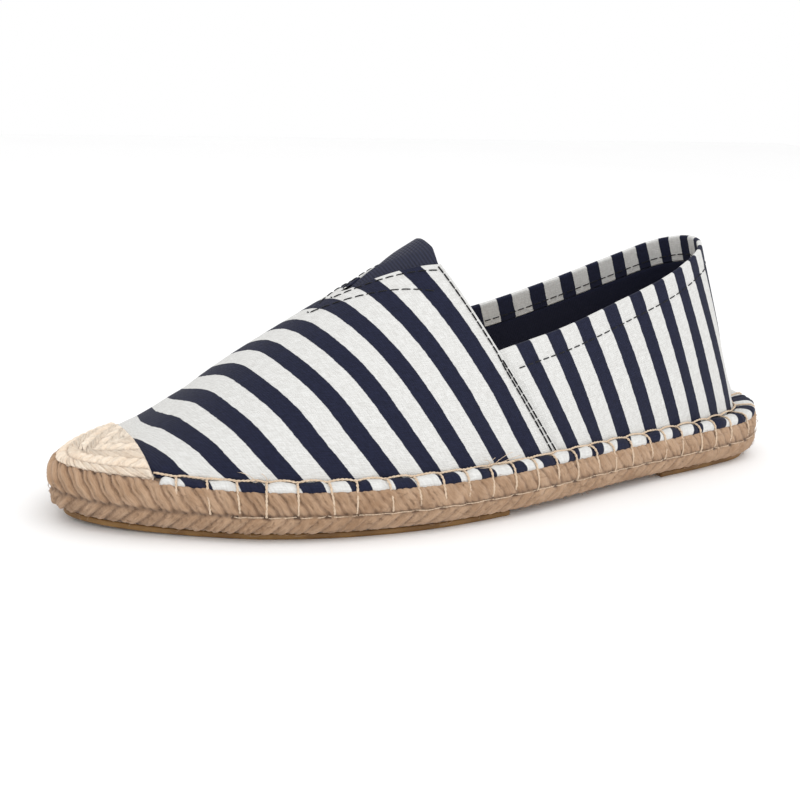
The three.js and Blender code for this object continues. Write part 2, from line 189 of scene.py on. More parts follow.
def outline(u):
    """Place on the sole's outline, direction outwards, and the ledge and insole columns there."""
    step = 0.01
    here, ahead, behind = (through(TURN, NUMBERS[0], u + s) for s in (0, step, -step))
    along = unit(ahead[..., :2] - behind[..., :2])
    outwards = np.stack([along[..., 1], -along[..., 0], 0 * u], -1)
    return here[..., :2], outwards, here[..., 2], here[..., 3]


def outline_point(u, inset, z=0.0):
    """Point that lies inset inwards from the outline, at height z."""
    place, outwards, _, _ = outline(u)
    flat = place - outwards[..., :2] * np.asarray(inset)[..., None]
    return np.stack([flat[..., 0], flat[..., 1], z + 0 * flat[..., 0]], -1)


def foot_point(u, ledge=None):
    """Point of the line where cloth meets the top of the sole."""
    point = outline_point(u, outline(u)[2] if ledge is None else ledge)
    point[..., 2] = jute_top(point[..., 0]) + GAP
    return point


def ridge_rib(table, ledges, number):
    """First handle as a step from the foot, last handle and end of the rib of a whole number.

    Past the table's last row the ribs go on straight, as the mirror of the ones before."""
    last = len(table) - 1
    past = abs(number) - last
    if past > 0:
        side = int(np.sign(number))
        edge, before = (ridge_rib(table, ledges, side * (last - back)) for back in (0, past))
        return 2 * edge - before
    row, side = abs(number), 1 if number >= 0 else -1
    hand = 0 if side > 0 else 1
    ridge, (climb, slant), lean, reach = (
        table[row, :3], table[row, 3:5], table[row, 5 + hand], table[row, 7 + hand])
    along = unit(table[min(row + 1, last), :3] - table[max(row - 1, 0), :3])
    foot = foot_point(np.array(float(number)), None if ledges is None else ledges[row])
    across = ridge - foot
    inwards = unit(across * (1, 1, 0))
    level = along * (across @ along)
    level[1] = across[1]
    first = across * (slant, 0, 1) * climb + inwards * lean
    return np.array([first, ridge - level * reach, ridge])


def cut_rib(foot, rib, share):
    """Lower part of a rib up to a share of its curve, found as a cubic curve is split: by points at
    that share of each line between handles, again between those, and once more."""
    handles = [foot, foot + rib[0], rib[1], rib[2]]
    a, b, c = (p + (q - p) * share for p, q in zip(handles[:3], handles[1:]))
    d, e = a + (b - a) * share, b + (c - b) * share
    return np.array([a - foot, d, d + (e - d) * share])


def quarter_rib(number):
    """Rib of the quarters of a whole number: the lower part of the vamp's rib up to the seam, and
    behind it a cubic whose handles, a third and two thirds up, stand out by the last columns."""
    row, side = around(number)
    foot = foot_point(np.array(float(number)))
    if row <= SEAM:
        return cut_rib(foot, ridge_rib(VAMP, None, side * row), JUNCTION_SHARE)
    x, z, lateral, medial, low, high = QUARTER[row - SEAM - 1]
    end = np.array([x, side * (lateral if side > 0 else medial), z])
    across = end - foot
    outwards = outline(np.array(float(number)))[1]
    return np.array([across / 3 + outwards * low, foot + across * 2 / 3 + outwards * high, end])


VAMP_NUMBERS = range(-SEAM - 3, SEAM + 4)
GUARD_NUMBERS = range(-6, 7)
QUARTER_NUMBERS = range(SEAM - 3, FULL_TURN - SEAM + 4)
VAMP_RIBS = np.array([ridge_rib(VAMP, None, n) for n in VAMP_NUMBERS])
GUARD_RIBS = np.array([ridge_rib(GUARD, GUARD_LEDGE, n) for n in GUARD_NUMBERS])
QUARTER_RIBS = np.array([quarter_rib(n) for n in QUARTER_NUMBERS])
GUARD_LEDGES = np.array([GUARD_LEDGE[min(abs(n), len(GUARD) - 1)] for n in GUARD_NUMBERS])


def on_rib(ribs, first_number, u, share, ledge=None):
    """Point at a share of the rib of section u: the cubic curve from the foot through its handles."""
    handles = through(ribs, first_number, u)
    foot = foot_point(u, ledge)
    t = share[..., None]
    s = 1 - t
    first, last, end = handles[..., 0, :] + foot, handles[..., 1, :], handles[..., 2, :]
    return s**3 * foot + 3 * s**2 * t * first + 3 * s * t**2 * last + t**3 * end


def vamp(u, share):
    """Point of the vamp, share 0 at the foot line and 1 on the ridge."""
    return on_rib(VAMP_RIBS, VAMP_NUMBERS[0], u, share)


def quarter(u, share):
    """Point of the quarters, share 0 at the foot line and 1 at the collar."""
    return on_rib(QUARTER_RIBS, QUARTER_NUMBERS[0], u, share)


def guard_ledge(u):
    """Distance of the toe guard's foot line from the sole's outline."""
    return through(GUARD_LEDGES, GUARD_NUMBERS[0], u)


def guard(u, share):
    """Point of the toe guard, share 0 at its foot line and 1 on the ridge."""
    return on_rib(GUARD_RIBS, GUARD_NUMBERS[0], u, share, guard_ledge(u))


# ---- sizes of the finish ---------------------------------------------------------------------

STRIPE = 12.0                # repeat of the stripes
NAVY_SHARE = 0.475
CANVAS = 1.0                 # thickness of the outer cloth
HEM = 9.2                    # depth of the collar's turned hem
HEM_WALL = 1.7
HEM_STITCH = 7.4             # depth of the hem's stitching under the collar
LINING_FACES = (-1.1, -1.55)  # heights of the lining's outer and inner face
GORE_WALL = 1.2
ROLL_FROM = 2.42             # section number where the guard gives way to the hem roll
STITCH_PITCH = 8.6           # blanket stitches
STRAND_PITCH = 4.8           # jute braid
BRAID_ROW = 7.6              # height of a row of the braid on the sole's side
STITCH_LOW = 4.02            # row of the sole's profile at which the blanket stitches end
THREAD_FROM = 3.4            # section number at which the thread down there begins
AT_SEAM, AT_BACK, AT_GUARD = 26.0, 12.0, 21.0  # millimetres of one section at those places

# Side of the jute sole from the top inwards of the edge down to the floor side: inset from the
# outline and share of the thickness. Row 0 is the foot line of the cloth, its inset the ledge.
SIDE = np.array([
    # inset, share
    (3.5, 1.0),
    (2.6, 1.0),
    (1.2, 0.92),
    (0.4, 0.74),
    (0.0, 0.42),
    (0.8, 0.16),
    (2.8, 0.0),
])

# Soft troughs and ridges of the cloth: place as section number and share of the rib, half lengths
# in the same two measures, turn between them, and height in millimetres.
CREASES = np.array([
    # u,    share, along, up,   turn, height
    (7.35,  0.16,  0.30,  0.16, 1.2,  -0.55),
    (6.85,  0.22,  0.26,  0.20, 1.0,  0.35),
    (5.1,   0.30,  0.45,  0.22, 0.4,  -0.40),
    (4.0,   0.55,  0.35,  0.20, 0.3,  -0.35),
    (3.3,   0.70,  0.30,  0.16, 0.0,  -0.30),
    (6.0,   0.70,  0.60,  0.14, 0.0,  0.35),
    (-5.2,  0.35,  0.40,  0.25, 0.5,  -0.50),
    (-6.8,  0.25,  0.35,  0.20, 0.9,  -0.50),
    (-4.1,  0.60,  0.35,  0.20, 0.2,  -0.35),
    (8.7,   0.40,  0.30,  0.30, 0.6,  -0.45),
    (9.8,   0.65,  0.40,  0.25, 0.2,  0.40),
    (11.1,  0.35,  0.40,  0.25, 0.4,  -0.50),
    (12.55, 0.30,  0.30,  0.13, 0.3,  -1.60),
    (12.9,  0.10,  0.25,  0.08, 0.1,  1.20),
    (15.4,  0.32,  0.30,  0.15, 0.3,  -0.90),
    (17.0,  0.50,  0.45,  0.30, 0.2,  -0.50),
    (18.9,  0.35,  0.35,  0.30, 0.5,  -0.50),
])


def runs(points):
    """Length from the first point of each line of points, the axis before the last, to each point."""
    steps = np.linalg.norm(np.diff(points, axis=-2, prepend=points[..., :1, :]), axis=-1)
    return np.cumsum(steps, axis=-1)


FINE = 1200
RIDGE_U = np.linspace(0, SEAM + 0.3, FINE)
RIDGE_LENGTH = runs(vamp(RIDGE_U, np.ones(FINE)))
SEAM_LENGTH = np.interp(SEAM, RIDGE_U, RIDGE_LENGTH)
COLLAR_U = np.linspace(SEAM - 0.4, FULL_TURN - SEAM + 0.4, 2 * FINE)
COLLAR_LENGTH = runs(quarter(COLLAR_U, np.ones(2 * FINE)))
EDGE_U = np.linspace(0, FULL_TURN, 4 * FINE + 1)
EDGE = outline_point(EDGE_U, 0 * EDGE_U)
EDGE_LENGTH = runs(EDGE)
FOOT_U = np.linspace(-FULL_TURN, FULL_TURN, 8 * FINE + 1)
FOOT_LENGTH = runs(foot_point(FOOT_U))

# The box of the sole is centred on the frame's origin.
MIDDLE = (EDGE.max(0) + EDGE.min(0)) / 2

# Length along the ridge from the seam towards the toe, and how far the vamp's stripes bow there.
BOW_LENGTH = (-5, 4, 16, 28, 40, 52, 65, 78, 95, 110)
BOW = (0.6, 1.5, 2.6, 3.6, 4.1, 3.9, 3.4, 2.6, 2.0, 1.6)


def vamp_stripe(u, share):
    """Cloth measure across the vamp's stripes: length along the ridge from the seam, drawn out a
    little in the toe, bowed towards the toe near the ridge and the foot, and turned further
    towards the toe on the inner side."""
    length = SEAM_LENGTH - np.interp(np.abs(u), RIDGE_U, RIDGE_LENGTH)
    drawn = 0.1 * np.maximum(0, length - 62)
    up = np.where(u < 0, share / 0.5, (share - 0.42) / 0.55)
    bow = eased(up) * np.interp(length, BOW_LENGTH, BOW)
    past_ridge = (0.14 - np.sign(u) * (1 - share)) / 0.36
    turn = eased(past_ridge) * np.interp(length, [-10, 34, 75, 100], [0, 5.5, 5, 3])
    foot = 6.0 * np.maximum(0, 0.3 - share) * np.clip(1.5 - length / 25, -0.4, 1)
    return length - 4.3 - drawn - bow - turn - foot


def quarter_stripe(u, share):
    """Cloth measure across the quarters' stripes: length along the collar from the nearer seam,
    closing up towards the back, leaning forward at the foot."""
    near = np.minimum(u, FULL_TURN - u)
    length = np.interp(near, COLLAR_U, COLLAR_LENGTH - np.interp(SEAM, COLLAR_U, COLLAR_LENGTH))
    lean = 2.6 * (share - 0.5) * np.clip(1.6 - length / 40, -0.6, 1)
    inner = u > HALF_TURN
    start, pull = np.where(inner, 0.4, 5.4), np.where(inner, 0.88, 0.94)
    return pull * (length - start - lean) + 0.0045 * np.maximum(0, length - 44) ** 2


def creased(u, share):
    """Height of the soft troughs and ridges: a sum of long rounded bumps, one for each row, that
    fades out at the top of the ribs."""
    total = 0 * u
    for at_u, at_share, along, up, turn, height in CREASES:
        du, ds = (u - at_u) / along, (share - at_share) / up
        across, down = du + turn * ds, ds - 0.3 * turn * du
        total = total + height * np.exp(-across**2 * 2 - down**2)
    return total * np.clip((1 - share) / 0.06, 0, 1)


def gathers(u, rib_length):
    """Small gathers over the foot line, one for each blanket stitch, that fade up the wall."""
    foot = np.interp(u, FOOT_U, FOOT_LENGTH)
    return -0.3 * np.cos(2 * np.pi * foot / STITCH_PITCH) * np.exp(-rib_length / 4.5)


def under_guard(u):
    """How far the cloth draws in where the toe guard covers it."""
    return -0.75 * (1 - eased((np.abs(u) - 1.6) / 0.5))


def below_guard(face, base, u):
    """A face of the vamp's wall, kept below the last where the toe guard covers it."""
    roof = base[..., 2] + 0.4 * under_guard(u) + 6 * np.maximum(0, np.abs(u) - 1.6)
    return np.concatenate([face[..., :2], np.minimum(face[..., 2], roof)[..., None]], -1)


def surface_normal(surface, u, share):
    """Direction outwards: the cross product of a small step round the shoe and one up the rib."""
    step = 0.004
    round_it = surface(u + step, share) - surface(u - step, share)
    up_it = surface(u, share + step) - surface(u, share - step)
    return unit(np.cross(round_it, up_it))


def ridge_normals(surface, u, share, on_ridge=slice(None)):
    """Directions outwards of one side's grid; on the ridge, the mean of those of both sides."""
    out = surface_normal(surface, u, share)
    mirrored = surface_normal(surface, -u[:, -1], share[:, -1])
    out[on_ridge, -1] = unit(out[on_ridge, -1] + mirrored[on_ridge])
    return out


def rounded_edge(distance, radius):
    """How far a face draws back towards the middle of its wall near a round edge."""
    near = np.clip(distance, 0, radius)
    return np.sqrt(np.maximum(0, radius**2 - (radius - near) ** 2)) - radius


# ---- meshes ----------------------------------------------------------------------------------


def quads(index):
    """Four-cornered faces between neighbours in the last two axes of vertex numbers."""
    corners = [index[..., :-1, :-1], index[..., 1:, :-1], index[..., 1:, 1:], index[..., :-1, 1:]]
    return np.stack(corners, -1).reshape(-1, 4)


def piece(name, blocks, material, replaces=(), weld=0.004):
    """One closed mesh from blocks, each a grid of points with its cloth measures.

    A block is (points, cloth) or (points, cloth, ring): points [..., rows, columns, 3], cloth
    [..., rows, columns, 2 or 3], ring true where the last column joins the first. Doubles are
    merged and the faces turned outwards."""
    points, cloths, faces, start = [], [], [], 0
    for block in blocks:
        grid, cloth, ring = (*block, False)[:3]
        index = np.arange(grid[..., 0].size).reshape(grid.shape[:-1]) + start
        faces.append(quads(np.concatenate([index, index[..., :1]], -1) if ring else index))
        points.append(grid.reshape(-1, 3))
        extra = np.zeros(cloth.shape[:-1] + (1,)) if cloth.shape[-1] == 2 else cloth[..., 2:]
        cloths.append(np.concatenate([cloth[..., :2], extra], -1).reshape(-1, 3))
        start += grid[..., 0].size
    points, cloths, faces = (np.concatenate(parts) for parts in (points, cloths, faces))

    mesh = bpy.data.meshes.new(name)
    mesh.vertices.add(len(points))
    mesh.vertices.foreach_set("co", ((points - MIDDLE) * MM).astype(np.float32).ravel())
    mesh.loops.add(faces.size)
    mesh.loops.foreach_set("vertex_index", faces.astype(np.int32).ravel())
    mesh.polygons.add(len(faces))
    mesh.polygons.foreach_set("loop_start", np.arange(0, faces.size, 4, dtype=np.int32))
    mesh.update(calc_edges=True)
    uv = mesh.uv_layers.new(name="cloth")
    uv.data.foreach_set("uv", cloths[faces.ravel(), :2].astype(np.float32).ravel())
    # the third cloth measure becomes the relief attribute, which sets the jute's painted shade
    relief = mesh.attributes.new("relief", "FLOAT", "POINT")
    relief.data.foreach_set("value", cloths[:, 2].astype(np.float32))

    work = bmesh.new()
    work.from_mesh(mesh)
    bmesh.ops.remove_doubles(work, verts=work.verts, dist=weld * MM)
    bmesh.ops.recalc_face_normals(work, faces=work.faces)
    for face in work.faces:
        face.smooth = True
    work.to_mesh(mesh)
    work.free()
    mesh.materials.append(material)
    made = bpy.data.objects.new(name, mesh)
    bpy.context.scene.collection.objects.link(made)
    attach(made, "root")
    if replaces:
        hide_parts(*replaces)


def flat_cloth(points):
    """Cloth measures of a level face: its place along and across the shoe."""
    return points * (1, 1, 0)


def between(first, second, count):
    """Rows of points evenly spread between two lines of points."""
    mix = np.linspace(0, 1, count)[:, None]
    return first[:, None] * (1 - mix) + second[:, None] * mix


def closed_wall(outer, inner, cloth):
    """Blocks of a wall between two faces with its four rims."""
    rims = [(np.stack([outer[k], inner[k]]), cloth[[k, k]]) for k in (0, -1)]
    rims += [(np.stack([outer[:, k], inner[:, k]], 1), cloth[:, [k, k]]) for k in (0, -1)]
    return [(outer, cloth), (inner, cloth), *rims]


def across_path(paths, normals):
    """Two directions across each path: one square to its tangent and its normal, and one square to
    that and the tangent."""
    tangent = unit(np.gradient(paths, axis=1))
    side = unit(np.cross(tangent, normals))
    return side, np.cross(side, tangent)


def tubes(paths, normals, radius, sides):
    """Blocks of round threads: a circle carried along each path, across its tangent, the first and
    the last drawn together to a point. Paths are [threads, points, 3]."""
    side, up = across_path(paths, normals)
    angle = np.linspace(0, 2 * np.pi, sides, endpoint=False)
    size = np.full(paths.shape[:2], radius)
    size[:, [0, -1]] = 0
    ring = side[:, :, None] * np.cos(angle)[:, None] + up[:, :, None] * np.sin(angle)[:, None]
    points = paths[:, :, None] + ring * size[:, :, None, None]
    cloth = np.stack(np.broadcast_arrays(runs(paths)[..., None], angle * radius), -1)
    return [(points, cloth, True)]


def twisted(paths, normals, radius, turn_length):
    """Blocks of a thread of two plies that wind round the path once in each turn length."""
    side, up = across_path(paths, normals)
    blocks = []
    for ply in (0, np.pi):
        angle = (2 * np.pi * runs(paths) / turn_length + ply)[..., None]
        wound = paths + (side * np.cos(angle) + up * np.sin(angle)) * radius * 0.5
        blocks += tubes(wound, normals, radius * 0.62, 7)
    return blocks


def resample(line, at):
    """Points of a line at given lengths from its start."""
    run = runs(line)
    return np.stack([np.interp(at, run, line[:, k]) for k in range(3)], -1)


def stitch_row(line, normals, length, space, radius, dip=1.2):
    """Blocks of a row of machine stitches along a line of points: each stitch a short arc that
    rises out of the cloth and dips back into it."""
    total = runs(line)[-1]
    count = max(1, int(total / (length + space)))
    pitch = total / count
    along = np.linspace(-0.5, 0.5, 9)
    at = (np.arange(count)[:, None] + 0.5) * pitch + along * (pitch - space)
    centre = resample(line, at.ravel()).reshape(count, -1, 3)
    out = unit(resample(normals + line, at.ravel()).reshape(count, -1, 3) - centre)
    arch = 0.7 - dip * np.abs(2 * along) ** 3
    return tubes(centre + out * (radius * arch)[:, None], out, radius, 6)


# ---- materials -------------------------------------------------------------------------------


def linear(red, green, blue):
    """Linear colour of a shade given in the usual 0 to 255 steps."""
    shade = np.array([red, green, blue]) / 255
    return tuple(np.where(shade <= 0.04045, shade / 12.92, ((shade + 0.055) / 1.055) ** 2.4))


class Wire:
    """An output socket whose operators add Math nodes to its tree."""

    def __init__(self, finish, socket):
        self.finish, self.socket = finish, socket

    def math(self, operation, *others):
        values = [self, *others]
        return self.finish.node("ShaderNodeMath", {"operation": operation}, dict(enumerate(values)))

    def __add__(self, other):
        return self.math("ADD", other)

    def __sub__(self, other):
        return self.math("SUBTRACT", other)

    def __rsub__(self, other):
        return self.finish.node("ShaderNodeMath", {"operation": "SUBTRACT"}, {0: other, 1: self})

    def __mul__(self, other):
        return self.math("MULTIPLY", other)

    def __truediv__(self, other):
        return self.math("DIVIDE", other)

    __radd__, __rmul__ = __add__, __mul__

    def fraction(self):
        return self.math("FRACT")

    def size(self):
        return self.math("ABSOLUTE")

    def sine(self):
        return self.math("SINE")

    def ramp(self, low, high):
        """0 below low, 1 above high, smooth between them."""
        inputs = {"Value": self, "From Min": low, "From Max": high}
        return self.finish.node("ShaderNodeMapRange", {"interpolation_type": "SMOOTHSTEP"}, inputs)


class Finish:
    """A material and its Principled BSDF, built from expressions on wires."""

    def __init__(self, name, **constants):
        self.material = bpy.data.materials.new(name)
        self.material.use_nodes = True
        self.tree = self.material.node_tree
        self.shader = self.tree.nodes["Principled BSDF"]
        for key, value in constants.items():
            self.shader.inputs[key.replace("_", " ")].default_value = value

    def node(self, kind, settings, inputs, output=0):
        """Adds a node, its settings first and then the values or links of its sockets."""
        made = self.tree.nodes.new(kind)
        for key, value in settings.items():
            setattr(made, key, value)
        for key, value in inputs.items():
            if isinstance(value, Wire):
                self.tree.links.new(value.socket, made.inputs[key])
            else:
                made.inputs[key].default_value = value
        return Wire(self, made.outputs[output])

    def cloth(self):
        """The two cloth measures of the piece, in millimetres."""
        place = self.node("ShaderNodeUVMap", {"uv_map": "cloth"}, {})
        return [self.node("ShaderNodeSeparateXYZ", {}, {"Vector": place}, axis) for axis in (0, 1)]

    def relief(self):
        """The braid's relief attribute, from 0 in the hollows to 1, which sets the jute's painted shade."""
        return self.node("ShaderNodeAttribute", {"attribute_name": "relief"}, {}, 2)

    def place(self):
        """The point itself, in metres."""
        return self.node("ShaderNodeTexCoord", {}, {}, 3)

    def joined(self, x, y):
        return self.node("ShaderNodeCombineXYZ", {}, {"X": x, "Y": y})

    def noise(self, vector, scale, detail=3.0, roughness=0.55):
        """Cloudy noise around 0.5."""
        inputs = {"Vector": vector, "Scale": scale, "Detail": detail, "Roughness": roughness}
        return self.node("ShaderNodeTexNoise", {}, inputs)

    def mix(self, factor, first, second):
        """The first colour where the factor is 0 and the second where it is 1."""
        made = self.node("ShaderNodeMix", {"data_type": "RGBA"}, {0: factor}, 2)
        for key, value in ((6, first), (7, second)):
            target = made.socket.node.inputs[key]
            if isinstance(value, Wire):
                self.tree.links.new(value.socket, target)
            else:
                target.default_value = (*value, 1)
        return made

    def bump(self, height, distance, strength):
        """Feeds the shader's normal with a height, whose full range is distance in millimetres."""
        inputs = {"Height": height, "Distance": distance * MM, "Strength": strength}
        self.set("Normal", self.node("ShaderNodeBump", {}, inputs))

    def set(self, socket, wire):
        self.tree.links.new(wire.socket, self.shader.inputs[socket])


def weave(across, along, spacing):
    """Height of a plain weave: the product of half sine waves along its two threads."""
    return (across * (np.pi / spacing)).sine().size() * (along * (np.pi / spacing)).sine().size()


def striped_canvas(colours):
    """White plain-weave canvas with woven navy stripes, slubbed and slightly heathered."""
    finish = Finish("striped_canvas", Roughness=0.9, Specular_IOR_Level=0.22,
                    Sheen_Weight=0.05, Sheen_Roughness=0.5)
    across, along = finish.cloth()
    grain = finish.joined(across, along)
    wander = (finish.noise(grain, 0.35, 2.0) - 0.5) * 0.5 + (finish.noise(grain, 2.2, 2.0) - 0.5) * 0.22
    phase = ((across + wander) / STRIPE).fraction()
    soft = 0.1 / STRIPE
    navy = phase.ramp(0.0, 2 * soft) * (1 - phase.ramp(NAVY_SHARE - soft, NAVY_SHARE + soft))
    slub_across = finish.noise(finish.joined(across * 2.6, along * 0.35), 1.0, 3.0)
    slub_along = finish.noise(finish.joined(across * 0.35, along * 2.6), 1.0, 3.0)
    slub = slub_across + slub_along
    speck = finish.noise(grain, 1.7, 2.0).ramp(0.62, 0.78)
    white = finish.mix(slub.ramp(0.75, 1.3), colours.canvas_shade, colours.canvas)
    white = finish.mix(speck * 0.35, white, colours.canvas_shade)
    dark = finish.mix(slub.ramp(0.7, 1.35), colours.navy, colours.navy_light)
    dark = finish.mix(finish.noise(grain, 3.1, 2.0).ramp(0.66, 0.8) * 0.35, dark, colours.navy_worn)
    finish.set("Base Color", finish.mix(navy, white, dark))
    threads = weave(across + wander * 0.3, along, 0.62)
    finish.bump(threads * 0.7 + slub * 0.55, 0.16, 0.75)
    return finish.material


def plain_cotton(name, colour, shade, spacing=0.7):
    """Plain-weave cotton of one colour with slubs."""
    finish = Finish(name, Roughness=0.92, Sheen_Weight=0.1, Specular_IOR_Level=0.2)
    across, along = finish.cloth()
    slub_across = finish.noise(finish.joined(across * 2.2, along * 0.4), 1.0)
    slub = slub_across + finish.noise(finish.joined(across * 0.4, along * 2.2), 1.0)
    finish.set("Base Color", finish.mix(slub.ramp(0.7, 1.35), shade, colour))
    finish.bump(weave(across, along, spacing) * 0.7 + slub * 0.5, 0.16, 0.7)
    return finish.material


def elastic(colours):
    """Navy elastic webbing: fine cords across the throat with a soft sheen."""
    finish = Finish("gore_elastic", Roughness=0.78, Sheen_Weight=0.08, Sheen_Roughness=0.4)
    across, along = finish.cloth()
    cord = (across * (np.pi / 1.05)).sine().size()
    knit = (along * (np.pi / 0.7) + across * 1.4).sine() * 0.5 + 0.5
    mottle = finish.noise(finish.joined(across * 1.6, along * 0.5), 1.0)
    # lighter on the cords' crests and darker between them: painted shade between the cords, with random
    # mottle
    finish.set("Base Color", finish.mix((cord * 0.6 + mottle * 0.7).ramp(0.35, 1.05),
                                        colours.navy, colours.navy_light))
    finish.bump(cord * 0.8 + knit * 0.35 + mottle * 0.4, 0.3, 0.9)
    return finish.material


def jute(name, light, middle, shade_and_dark_fibres):
    """Braided jute: fibres along each strand, painted shade between strands, a few bleached fibres."""
    finish = Finish(name, Roughness=0.9, Sheen_Weight=0.15, Sheen_Roughness=0.6, Specular_IOR_Level=0.25)
    across, along = finish.cloth()
    relief = finish.relief()
    fibre = finish.noise(finish.joined(across * 3.2, along * 0.35), 1.0, 4.0, 0.65)
    fine = finish.noise(finish.joined(across * 8.0, along * 0.8), 1.0, 3.0, 0.7)
    patch = finish.noise(finish.place(), 130.0, 3.0)
    tone = (fibre * 0.65 + patch * 0.6 + fine * 0.3).ramp(0.5, 1.05)
    body = finish.mix(tone, middle, light)
    # painted shade between the strands: the lower the relief attribute, the more of the shade colour
    crevice_shade = 1 - relief.ramp(0.05, 0.68)
    body = finish.mix(crevice_shade * 0.9, body, shade_and_dark_fibres)
    body = finish.mix(fine.ramp(0.66, 0.76) * 0.3, body, light)
    # a few dark fibres at random, in the painted shade's colour
    body = finish.mix(fine.ramp(0.3, 0.22) * 0.35, body, shade_and_dark_fibres)
    finish.set("Base Color", body)
    finish.bump(fibre + fine * 0.6, 0.42, 0.9)
    return finish.material


def thread(name, light, dark):
    """Twisted sewing thread: oblique plies along its length, with painted shade between them."""
    finish = Finish(name, Roughness=0.75, Sheen_Weight=0.1, Specular_IOR_Level=0.25)
    along, across = finish.cloth()
    ply = ((along + across * 1.2) * (np.pi / 0.55)).sine().size()
    tone = finish.noise(finish.joined(along * 0.6, across), 1.0)
    # darker between the plies, where the ply relief is low: painted shade, with random tone
    finish.set("Base Color", finish.mix((ply * 0.5 + tone * 0.6).ramp(0.2, 0.9), dark, light))
    finish.bump(ply, 0.12, 0.7)
    return finish.material


def gum_rubber(colours):
    """Gum rubber: warm, slightly cloudy, dusty where it meets the floor."""
    finish = Finish("outsole_rubber", Roughness=0.55, Specular_IOR_Level=0.4)
    cloud = finish.noise(finish.place(), 90.0, 4.0)
    grit = finish.noise(finish.place(), 1500.0, 2.0)
    tone = finish.mix(cloud.ramp(0.35, 0.68), colours.rubber_dark, colours.rubber)
    finish.set("Base Color", finish.mix(grit.ramp(0.6, 0.75) * 0.25, tone, colours.rubber_light))
    finish.set("Roughness", cloud * 0.3 + 0.42)
    finish.bump(grit * 0.5 + cloud * 0.5, 0.08, 0.6)
    return finish.material


def studio_floor(colours):
    """Matt white floor, barely clouded."""
    finish = Finish("studio_floor", Roughness=0.85, Specular_IOR_Level=0.1)
    tone = finish.noise(finish.place(), 3.0, 2.0)
    finish.set("Base Color", finish.mix(tone, colours.floor, colours.floor_shade))
    return finish.material


# ---- what a user would change ----------------------------------------------------------------


def length_property(name, description, default):
    return FloatProperty(name=name, description=description, default=default * MM,
                         unit="LENGTH", precision=5)


def colour_property(name, description, shade):
    return FloatVectorProperty(name=name, description=description, default=linear(*shade),
                               subtype="COLOR", min=0, max=1)


class EspadrilleSizes(bpy.types.PropertyGroup):
    """Sizes of the cloth, threads and braid."""

    seam_thread: length_property("Seam thread", "Radius of the black sewing thread", 0.21)
    blanket_thread: length_property("Blanket thread", "Radius of the cream thread on the sole's edge", 0.37)
    roll_height: length_property("Hem roll", "How far the cloth roll stands out of the sole's edge", 1.15)
    braid_relief: length_property("Braid relief", "Depth of the sole's braid", 2.3)
    guard_relief: length_property("Guard relief", "Depth of the toe guard's braid", 1.7)


class EspadrilleColours(bpy.types.PropertyGroup):
    """Colours of the finishes."""

    canvas: colour_property("Canvas", "White of the cloth", (222, 222, 220))
    canvas_shade: colour_property("Canvas shade", "White in the weave's hollows", (204, 203, 200))
    navy: colour_property("Navy", "Dark of the stripes", (21, 24, 43))
    navy_light: colour_property("Navy thread", "Lighter threads of the stripes", (31, 35, 58))
    navy_worn: colour_property("Navy specks", "Worn threads of the stripes", (68, 74, 104))
    lining: colour_property("Lining", "Navy cotton inside", (22, 25, 46))
    jute: colour_property("Jute", "Sole braid", (201, 169, 140))
    jute_middle: colour_property("Jute tone", "Duller fibres of the sole braid", (157, 122, 91))
    # painted shade between the sole's strands, also the colour of a few dark fibres
    jute_shade_and_dark_fibres: colour_property("Jute shade", "Between the strands", (70, 46, 32))
    guard: colour_property("Guard", "Pale braid over the toe", (255, 243, 226))
    guard_middle: colour_property("Guard tone", "Duller fibres of the toe guard", (238, 216, 192))
    # painted shade between the guard's strands, also the colour of a few dark fibres
    guard_shade_and_dark_fibres: colour_property("Guard shade", "Between the guard's strands", (140, 104, 78))
    cream: colour_property("Cream thread", "Blanket stitches", (232, 212, 188))
    # painted shade between the cream thread's plies
    cream_shade: colour_property("Cream thread shade", "Between the plies", (196, 166, 136))
    black: colour_property("Black thread", "Topstitching", (24, 24, 30))
    # painted shade between the black thread's plies
    black_shade: colour_property("Black thread shade", "Between the plies", (8, 8, 11))
    insole: colour_property("Insole", "Canvas sock", (222, 206, 180))
    rubber: colour_property("Rubber", "Gum outsole", (138, 104, 60))
    rubber_light: colour_property("Rubber dust", "Pale specks", (166, 134, 90))
    rubber_dark: colour_property("Rubber shade", "Cloudy parts", (112, 80, 42))
    floor: colour_property("Floor", "Studio floor", (252, 252, 252))
    floor_shade: colour_property("Floor tone", "Studio floor, slightly darker", (249, 249, 249))


# ---- cloth -----------------------------------------------------------------------------------


def notch_share(u, hand, v_length=NOTCH_LENGTH, v_half_width=NOTCH_HALF_WIDTH):
    """Share of each rib at which it meets a V over the ridge, 1 where it passes in front of it.

    The V opens from its tip on the ridge back to the throat; a rib meets it where its distance
    from the ridge's plane is the V's half width there."""
    ridge = vamp(np.array([float(SEAM - 1), float(SEAM)]), np.ones(2))
    along = unit(ridge[0] - ridge[1])
    shares = np.linspace(0.5, 1, 401)
    grid_u, grid_share = np.meshgrid(u, shares, indexing="ij")
    points = vamp(hand * grid_u, grid_share) - ridge[1]
    half_width = (v_length - points @ along) * v_half_width / v_length
    spare = np.abs(points[..., 1]) - half_width
    first = np.argmax(spare < 0, axis=1)
    rows = np.arange(len(u))
    before, after = spare[rows, np.maximum(first - 1, 0)], spare[rows, first]
    part = before / np.maximum(before - after, 1e-9)
    return np.where(first > 0, shares[first] - (1 - part) * (shares[1] - shares[0]), 1.0)


# Distances from a round edge, in millimetres, at which rows or columns crowd.
FINE_EDGE = np.array([1.6, 1.0, 0.6, 0.35, 0.15, 0.0])


